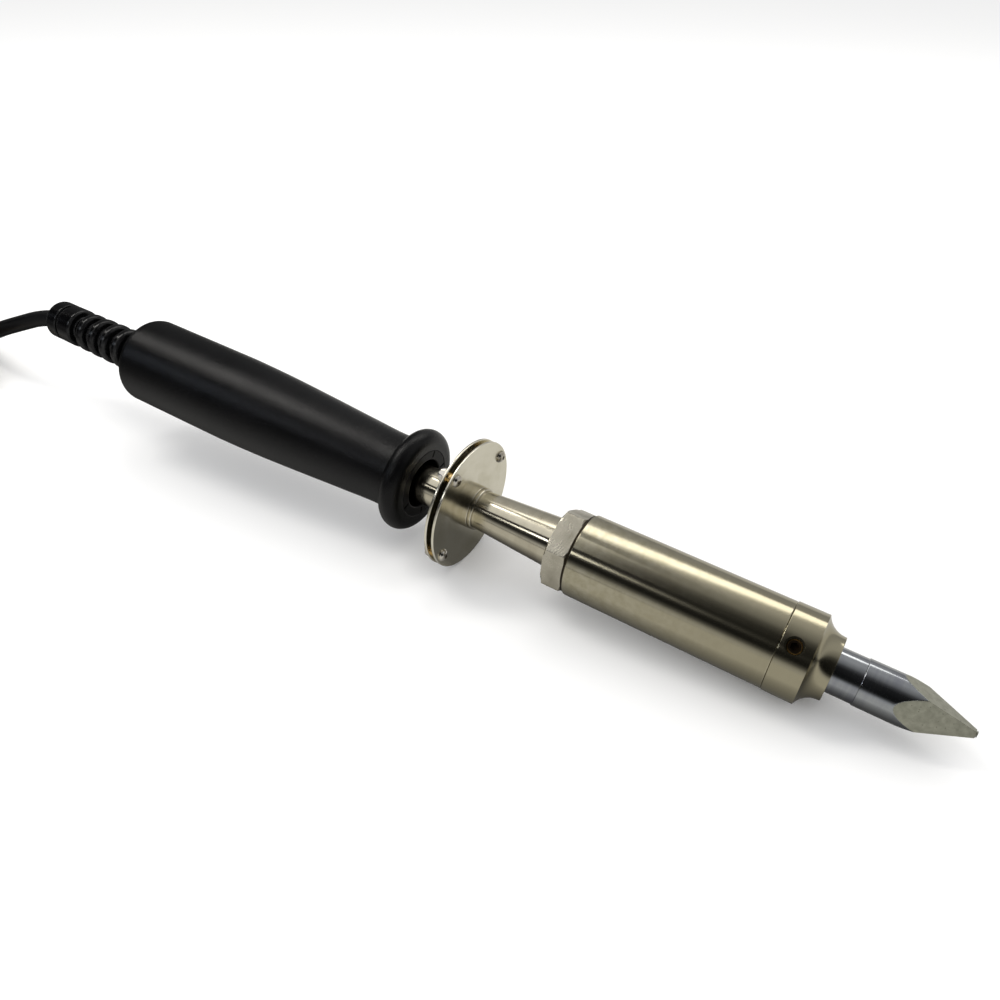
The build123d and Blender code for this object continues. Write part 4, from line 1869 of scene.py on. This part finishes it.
@dataclass
class CordTie:
    """The hook-and-loop strap round the hank, its end pressed over itself."""

    thickness: float = 1.2
    corner: float = 5.0
    steps: int = 14

    def outline(self, low: Vector, high: Vector, grown: float) -> np.ndarray:
        """The strap's middle line in Y and height, as a rounded rectangle.

        Args:
            low: The strap's lowest corner, in metres.
            high: Its highest corner.
            grown: How far outside the first turn this one lies, in millimetres.

        Returns:
            Rows of Y, height and the outward direction.
        """
        inset = self.thickness / 2 - grown
        left, right = low.y / MM + inset, high.y / MM - inset
        bottom, top = low.z / MM + self.thickness / 2, high.z / MM - inset
        turn = self.corner
        rows = []
        spots = (
            (right - turn, top - turn, 0), (left + turn, top - turn, 90),
            (left + turn, bottom + turn, 180), (right - turn, bottom + turn, 270),
        )
        for y, z, start in spots:
            for angle in np.radians(start + np.linspace(0, 90, self.steps)):
                out = (math.cos(angle), math.sin(angle))
                rows.append((y + turn * out[0], z + turn * out[1], *out))
        return np.array(rows)

    def strap(
        self, name: str, rows: np.ndarray, low: Vector, high: Vector, loop: bool
    ) -> bpy.types.Object:
        """A strap along a line, with rounded long edges.

        Args:
            name: The piece's name.
            rows: Its middle line, as outline() gives it.
            low: The strap's lowest corner.
            high: Its highest corner.
            loop: True if it closes on itself.

        Returns:
            A new object.
        """
        half, thick = (high.x - low.x) / 2 / MM, self.thickness / 2
        middle = (high.x + low.x) / 2 / MM
        angles = np.radians(np.linspace(0, 360, 24, endpoint=False))
        across = np.sign(np.cos(angles)) * half * np.abs(np.cos(angles)) ** 0.35
        up = np.sign(np.sin(angles)) * thick * np.abs(np.sin(angles)) ** 0.5
        points = np.empty((len(rows), len(angles), 3))
        points[..., 0] = middle + across
        points[..., 1] = rows[:, 0:1] + rows[:, 2:3] * up
        points[..., 2] = rows[:, 1:2] + rows[:, 3:4] * up
        return smooth(grid_mesh(name, points * MM, loop), 60.0)

    def build(self) -> bpy.types.Object:
        """Make the strap with its overlapping end.

        Returns:
            The strap.
        """
        low, high = (Vector(corner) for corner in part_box("cord_tie"))
        band = self.strap("hank_strap", self.outline(low, high, 0.0), low, high, True)
        over = self.outline(low, high, self.thickness)[: 2 * self.steps]
        end = self.strap("strap_end", over, low, high, False)
        joined(band, end)
        return placed(band, TIE_NYLON, "tie_nylon", "cord_tie", matrix=Matrix.Identity(4))


@dataclass
class Plug:
    """The moulded plug: softened square body, ribbed boot, two blades and an earth pin."""

    body_length: float = 38.0
    boot_length: float = 22.0
    half_size: float = 13.0
    boot_front_radius: float = 7.0
    boot_rear_radius: float = 5.0
    softness: float = 7.0
    grip_ribs: int = 6
    grip_pitch: float = 3.0
    grip_depth: float = 0.7
    boot_pitch: float = 3.6
    blade: Point = (17.0, 1.5, 6.3)
    blade_side: float = 6.35
    blade_rise: float = 3.0
    blade_hole: float = 1.6
    blade_hole_from_end: float = 4.2
    pin_length: float = 20.0
    pin_radius: float = 2.4
    pin_drop: float = 8.5

    def body(self, place: Matrix) -> bpy.types.Object:
        """The moulding, from its face back to the cord.

        Args:
            place: The middle of the plug's face.

        Returns:
            A new object.
        """
        front = [(0.0, 0.0), (0.0, 10.5), (-0.15, 12.2), (-0.8, 12.85), (-2.0, 13.0)]
        grip = [(x, self.half_size) for x in np.arange(-4.0, -30.0, -0.25)]
        taper = [(-30.5, 12.9), (-33.0, 12.2), (-35.5, 10.8), (-37.3, 9.0), (-38.0, 7.4), (-38.5, 7.0)]
        boot_rear = -self.body_length - self.boot_length
        boot = [(x, self.boot_radius(x)) for x in np.arange(-39.0, boot_rear + 0.4, -0.2)]
        tail = [(boot_rear, self.boot_rear_radius - 0.5), (boot_rear, 0.0)]
        line = np.array([*front, *grip, *taper, *boot, *tail])
        made = lathe("plug_moulding", line, 192, True, self.shape, 60.0)
        return placed(made, PLUG_RUBBER, "plug_rubber", "plug_body", matrix=place)

    def boot_radius(self, station: float) -> float:
        """The boot's radius with its ribs.

        Args:
            station: Where along the plug's axis, behind its face.

        Returns:
            The radius there.
        """
        share = (station + self.body_length) / -self.boot_length
        plain = self.boot_front_radius + (self.boot_rear_radius - self.boot_front_radius) * share
        wave = math.cos(2 * math.pi * (station + self.body_length) / self.boot_pitch)
        return plain - 0.9 * min(max(0.5 - wave, 0.0), 1.0) * (share > 0.05)

    def shape(self, rows: np.ndarray, angles: np.ndarray) -> np.ndarray:
        """The body's radii: a softened square with a ribbed grip, then a round boot.

        Args:
            rows: Rows of station and radius.
            angles: Angles about the plug's axis.

        Returns:
            A radius for each row and angle.
        """
        radii = np.repeat(rows[:, 1:2], len(angles), axis=1)
        for i, (station, radius) in enumerate(rows):
            if station < -self.body_length or radius == 0.0:
                continue
            square = many_sided(angles, 4, radius, 0.0, radius * 1.3, self.softness)
            back = np.clip((-station - self.body_length + 8.0) / 8.0, 0.0, 1.0)
            radii[i] = square * (1 - back) + radius * back
            along = (-station - 8.0) / self.grip_pitch
            if 0 < along < self.grip_ribs:
                sides = np.abs(np.sin(np.radians(angles))) ** 2
                dip = self.grip_depth * (0.5 - 0.5 * math.cos(2 * math.pi * along)) ** 2
                radii[i] -= dip * sides
        return radii

    def contacts(self, place: Matrix) -> list[bpy.types.Object]:
        """The two drilled blades and the round earth pin.

        Args:
            place: The middle of the plug's face.

        Returns:
            The blades, which are one piece, and the pin.
        """
        length, thick, wide = self.blade
        middle = (length / 2 - 1.0, 0.0, self.blade_rise)
        blade = block("plug_contacts", (length + 2.0, thick, wide), middle, 0.35)
        drilled = Vector((length - self.blade_hole_from_end, 0, self.blade_rise)) * MM
        sideways = Matrix.Translation(drilled) @ Matrix.Rotation(math.pi / 2, 4, "Z")
        cut(blade, moved(bar(-3.0, 3.0, self.blade_hole, 48), sideways))
        sides = (-self.blade_side * MM, self.blade_side * MM)
        repeated(blade, [Matrix.Translation((0, side, 0)) for side in sides])
        placed(blade, TERMINAL_BRASS, "plug_brass", "plug_blades", matrix=place)
        r, nose = self.pin_radius, self.pin_length - 2.0
        line = [(-1.0, 0.0), (-1.0, r), (nose, r)]
        for angle in np.linspace(0.15, 1.57, 8):
            line.append((nose + 2.0 * math.sin(angle), r * (0.17 + 0.83 * math.cos(angle))))
        line.append((self.pin_length, 0.0))
        drop = Matrix.Translation((0, 0, -self.pin_drop * MM))
        pin = moved(lathe("earth_contact", np.array(line), 64), drop)
        placed(pin, TERMINAL_BRASS, "plug_brass", "plug_ground_pin", matrix=place)
        return [blade, pin]

    def build(self) -> list[bpy.types.Object]:
        """Make the plug where its moulding is in the frame.

        Returns:
            Its pieces.
        """
        low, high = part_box("plug_body")
        place = Matrix.Translation((high[0], (low[1] + high[1]) / 2, (low[2] + high[2]) / 2))
        return [self.body(place), *self.contacts(place)]


# ---- studio -----------------------------------------------------------------------

BLACK: Colour = (0.0, 0.0, 0.0)
WARM: Colour = (1.0, 0.975, 0.93)
PLAIN: Colour = (1.0, 1.0, 1.0)
COOL: Colour = (0.8, 0.88, 1.0)


@dataclass(frozen=True)
class Strip:
    """A rectangular light that faces the iron.

    Attributes:
        name: The light's name.
        start: The middle of its first end, in metres.
        end: The middle of its other end, in metres.
        width: Its width, in metres.
        radiance: How bright its face is.
        colour: Its colour.
    """

    name: str
    start: Point
    end: Point
    width: float
    radiance: float
    colour: Colour

    def build(self) -> None:
        """Hang the light."""
        first, last = Vector(self.start), Vector(self.end)
        middle, along = (first + last) / 2, (last - first).normalized()
        back = (middle - along * middle.dot(along)).normalized()
        data = bpy.data.lights.new(self.name, "AREA")
        data.shape = "RECTANGLE"
        data.size, data.size_y = (last - first).length, self.width
        data.energy = self.radiance * math.pi * data.size * data.size_y
        data.color = self.colour
        lamp = bpy.data.objects.new(self.name, data)
        turn = Matrix((along, back.cross(along), back)).transposed()
        lamp.matrix_world = Matrix.Translation(middle) @ turn.to_4x4()
        bpy.context.scene.collection.objects.link(lamp)


@dataclass
class Studio:
    """The pale bench, the lights and the camera."""

    camera_place: Point = (168.2, -208.4, 220.0)
    camera_down: float = 37.466
    camera_heading: float = 31.712
    lens: float = 30.775
    bench_size: float = 12.0
    bench_colour: Colour = (0.95, 0.95, 0.95)
    # The grey of the bench's painted glow, an emission seen only in reflections.
    bench_painted_glow: Colour = (0.66, 0.65, 0.62)
    # The sky's level in reflections, by half turns from the far horizon over the top.
    sky_stops: tuple[Point, ...] = (
        (0.0, 0.36), (0.1, 0.44), (0.25, 0.55), (0.375, 0.55), (0.44, 0.42), (0.51, 0.28),
        (0.57, 0.10), (0.64, 0.025), (0.8, 0.01), (0.875, 0.015), (0.915, 0.12), (0.95, 0.42),
        (0.98, 0.58), (1.0, 0.6),
    )
    sky_colour: Colour = (0.9, 0.9, 0.9)

    def camera(self) -> None:
        """Look down on the iron from beside its heated end."""
        data = bpy.data.cameras.new("camera")
        data.lens = self.lens
        data.sensor_width = 36.0
        data.clip_start = 0.01
        eye = bpy.data.objects.new("camera", data)
        eye.location = Vector(self.camera_place) * MM
        tilt, heading = math.radians(90 - self.camera_down), math.radians(self.camera_heading)
        eye.rotation_euler = (tilt, 0.0, heading)
        bpy.context.scene.collection.objects.link(eye)
        bpy.context.scene.camera = eye

    def bench(self) -> None:
        """A plain pale bench top. In reflections it is a grey emission, not a lit surface: a painted
        glow with a painted shadow, darker close beside the iron's line and darker towards −X.
        """
        half = self.bench_size / 2
        corners = [(-half, -half, 0), (half, -half, 0), (half, half, 0), (-half, half, 0)]
        mesh = bpy.data.meshes.new("bench_top")
        mesh.from_pydata(corners, [], [(0, 1, 2, 3)])
        top = bpy.data.objects.new("bench_top", mesh)
        bpy.context.scene.collection.objects.link(top)
        made = bpy.data.materials.new("bench_white")
        made.use_nodes = True
        graph = Graph(made.node_tree)
        pale = graph.add("ShaderNodeBsdfDiffuse", {"Color": opaque(self.bench_colour)})
        # In reflections the bench glows instead of being lit. This is painted brightness, with a painted
        # shadow that darkens it close to Y = 0, under and beside the iron. It is also darker towards −X.
        spot = graph.parts(graph.coordinates("Object"))
        painted_shadow_aside = graph.remap(graph.math("ABSOLUTE", spot.outputs["Y"]), 0.008, 0.040, 0.15, 1.0)
        along = graph.remap(spot.outputs["X"], -0.40, -0.04, 0.16, 1.0)
        level = graph.math("MULTIPLY", along, painted_shadow_aside)
        tone = graph.mix(level, opaque(BLACK), opaque(self.bench_painted_glow))
        dim = graph.add("ShaderNodeEmission", {"Color": tone})
        glossy = graph.add("ShaderNodeLightPath").outputs["Is Glossy Ray"]
        both = graph.add("ShaderNodeMixShader", {0: glossy, 1: pale.outputs[0], 2: dim.outputs[0]})
        graph.add("ShaderNodeOutputMaterial", {"Surface": both.outputs[0]})
        mesh.materials.append(made)

    def sky(self) -> None:
        """Soft surroundings: pale behind and overhead, dark above the front edge."""
        world = bpy.data.worlds.new("studio")
        bpy.context.scene.world = world
        world.cycles.sampling_method = "NONE"
        world.use_nodes = True
        graph = Graph(world.node_tree)
        way = graph.parts(graph.coordinates("Generated"))
        angle = graph.math("ARCTAN2", way.outputs["Z"], way.outputs["Y"])
        ramp = graph.add("ShaderNodeValToRGB", {0: graph.math("DIVIDE", angle, math.pi)})
        while len(ramp.color_ramp.elements) < len(self.sky_stops):
            ramp.color_ramp.elements.new(0.5)
        for element, (position, level) in zip(ramp.color_ramp.elements, self.sky_stops):
            element.position = position
            element.color = (level, level, level, 1.0)
        left = graph.remap(way.outputs["X"], -0.62, -0.42, 0.22, 1.0)
        dimmed = graph.mix(left, opaque(BLACK), ramp.outputs[0])
        glossy = graph.add("ShaderNodeLightPath").outputs["Is Glossy Ray"]
        seen = graph.mix(glossy, opaque(self.sky_colour), dimmed)
        glow = graph.add("ShaderNodeBackground", {"Color": seen, "Strength": 1.0})
        graph.add("ShaderNodeOutputWorld", {"Surface": glow.outputs[0]})

    def lights(self) -> None:
        """Long soft lights from behind the tip to above the handle, and small ones in front."""
        strips = (
            Strip("back_light", (0.26, 0.98, 0.62), (-0.32, 0.26, 1.08), 0.26, 2.6, WARM),
            Strip("top_light", (-0.44, 0.14, 1.05), (-0.95, -0.20, 0.92), 0.22, 8.0, WARM),
            Strip("fill_light", (-0.26, -0.02, 1.05), (-0.34, -0.60, 0.86), 0.34, 1.0, PLAIN),
            Strip("front_light", (-0.20, -0.80, 0.70), (-0.40, -0.79, 0.69), 0.10, 7.0, PLAIN),
            Strip("cool_light", (-0.66, -0.70, 0.60), (-0.90, -0.56, 0.60), 0.24, 3.0, COOL),
        )
        for strip in strips:
            strip.build()

    def build(self) -> None:
        """Set up the whole studio."""
        bpy.context.scene.view_settings.view_transform = "Standard"
        self.camera()
        self.bench()
        self.sky()
        self.lights()


def main() -> None:
    """Build the studio and every sub-assembly."""
    logging.basicConfig(level=logging.INFO, format="%(name)s: %(message)s")
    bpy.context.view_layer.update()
    Studio().build()
    PowerCord().build()
    for assembly in (
        Handle(), Stem(), Baffle(), HexNut(), Barrel(), NoseCap(), Tip(), Inside(), StrainRelief(),
    ):
        log.info("building: %s", type(assembly).__name__)
        assembly.build()
    log.info("sizes written")


if __name__ == "__main__":
    main()
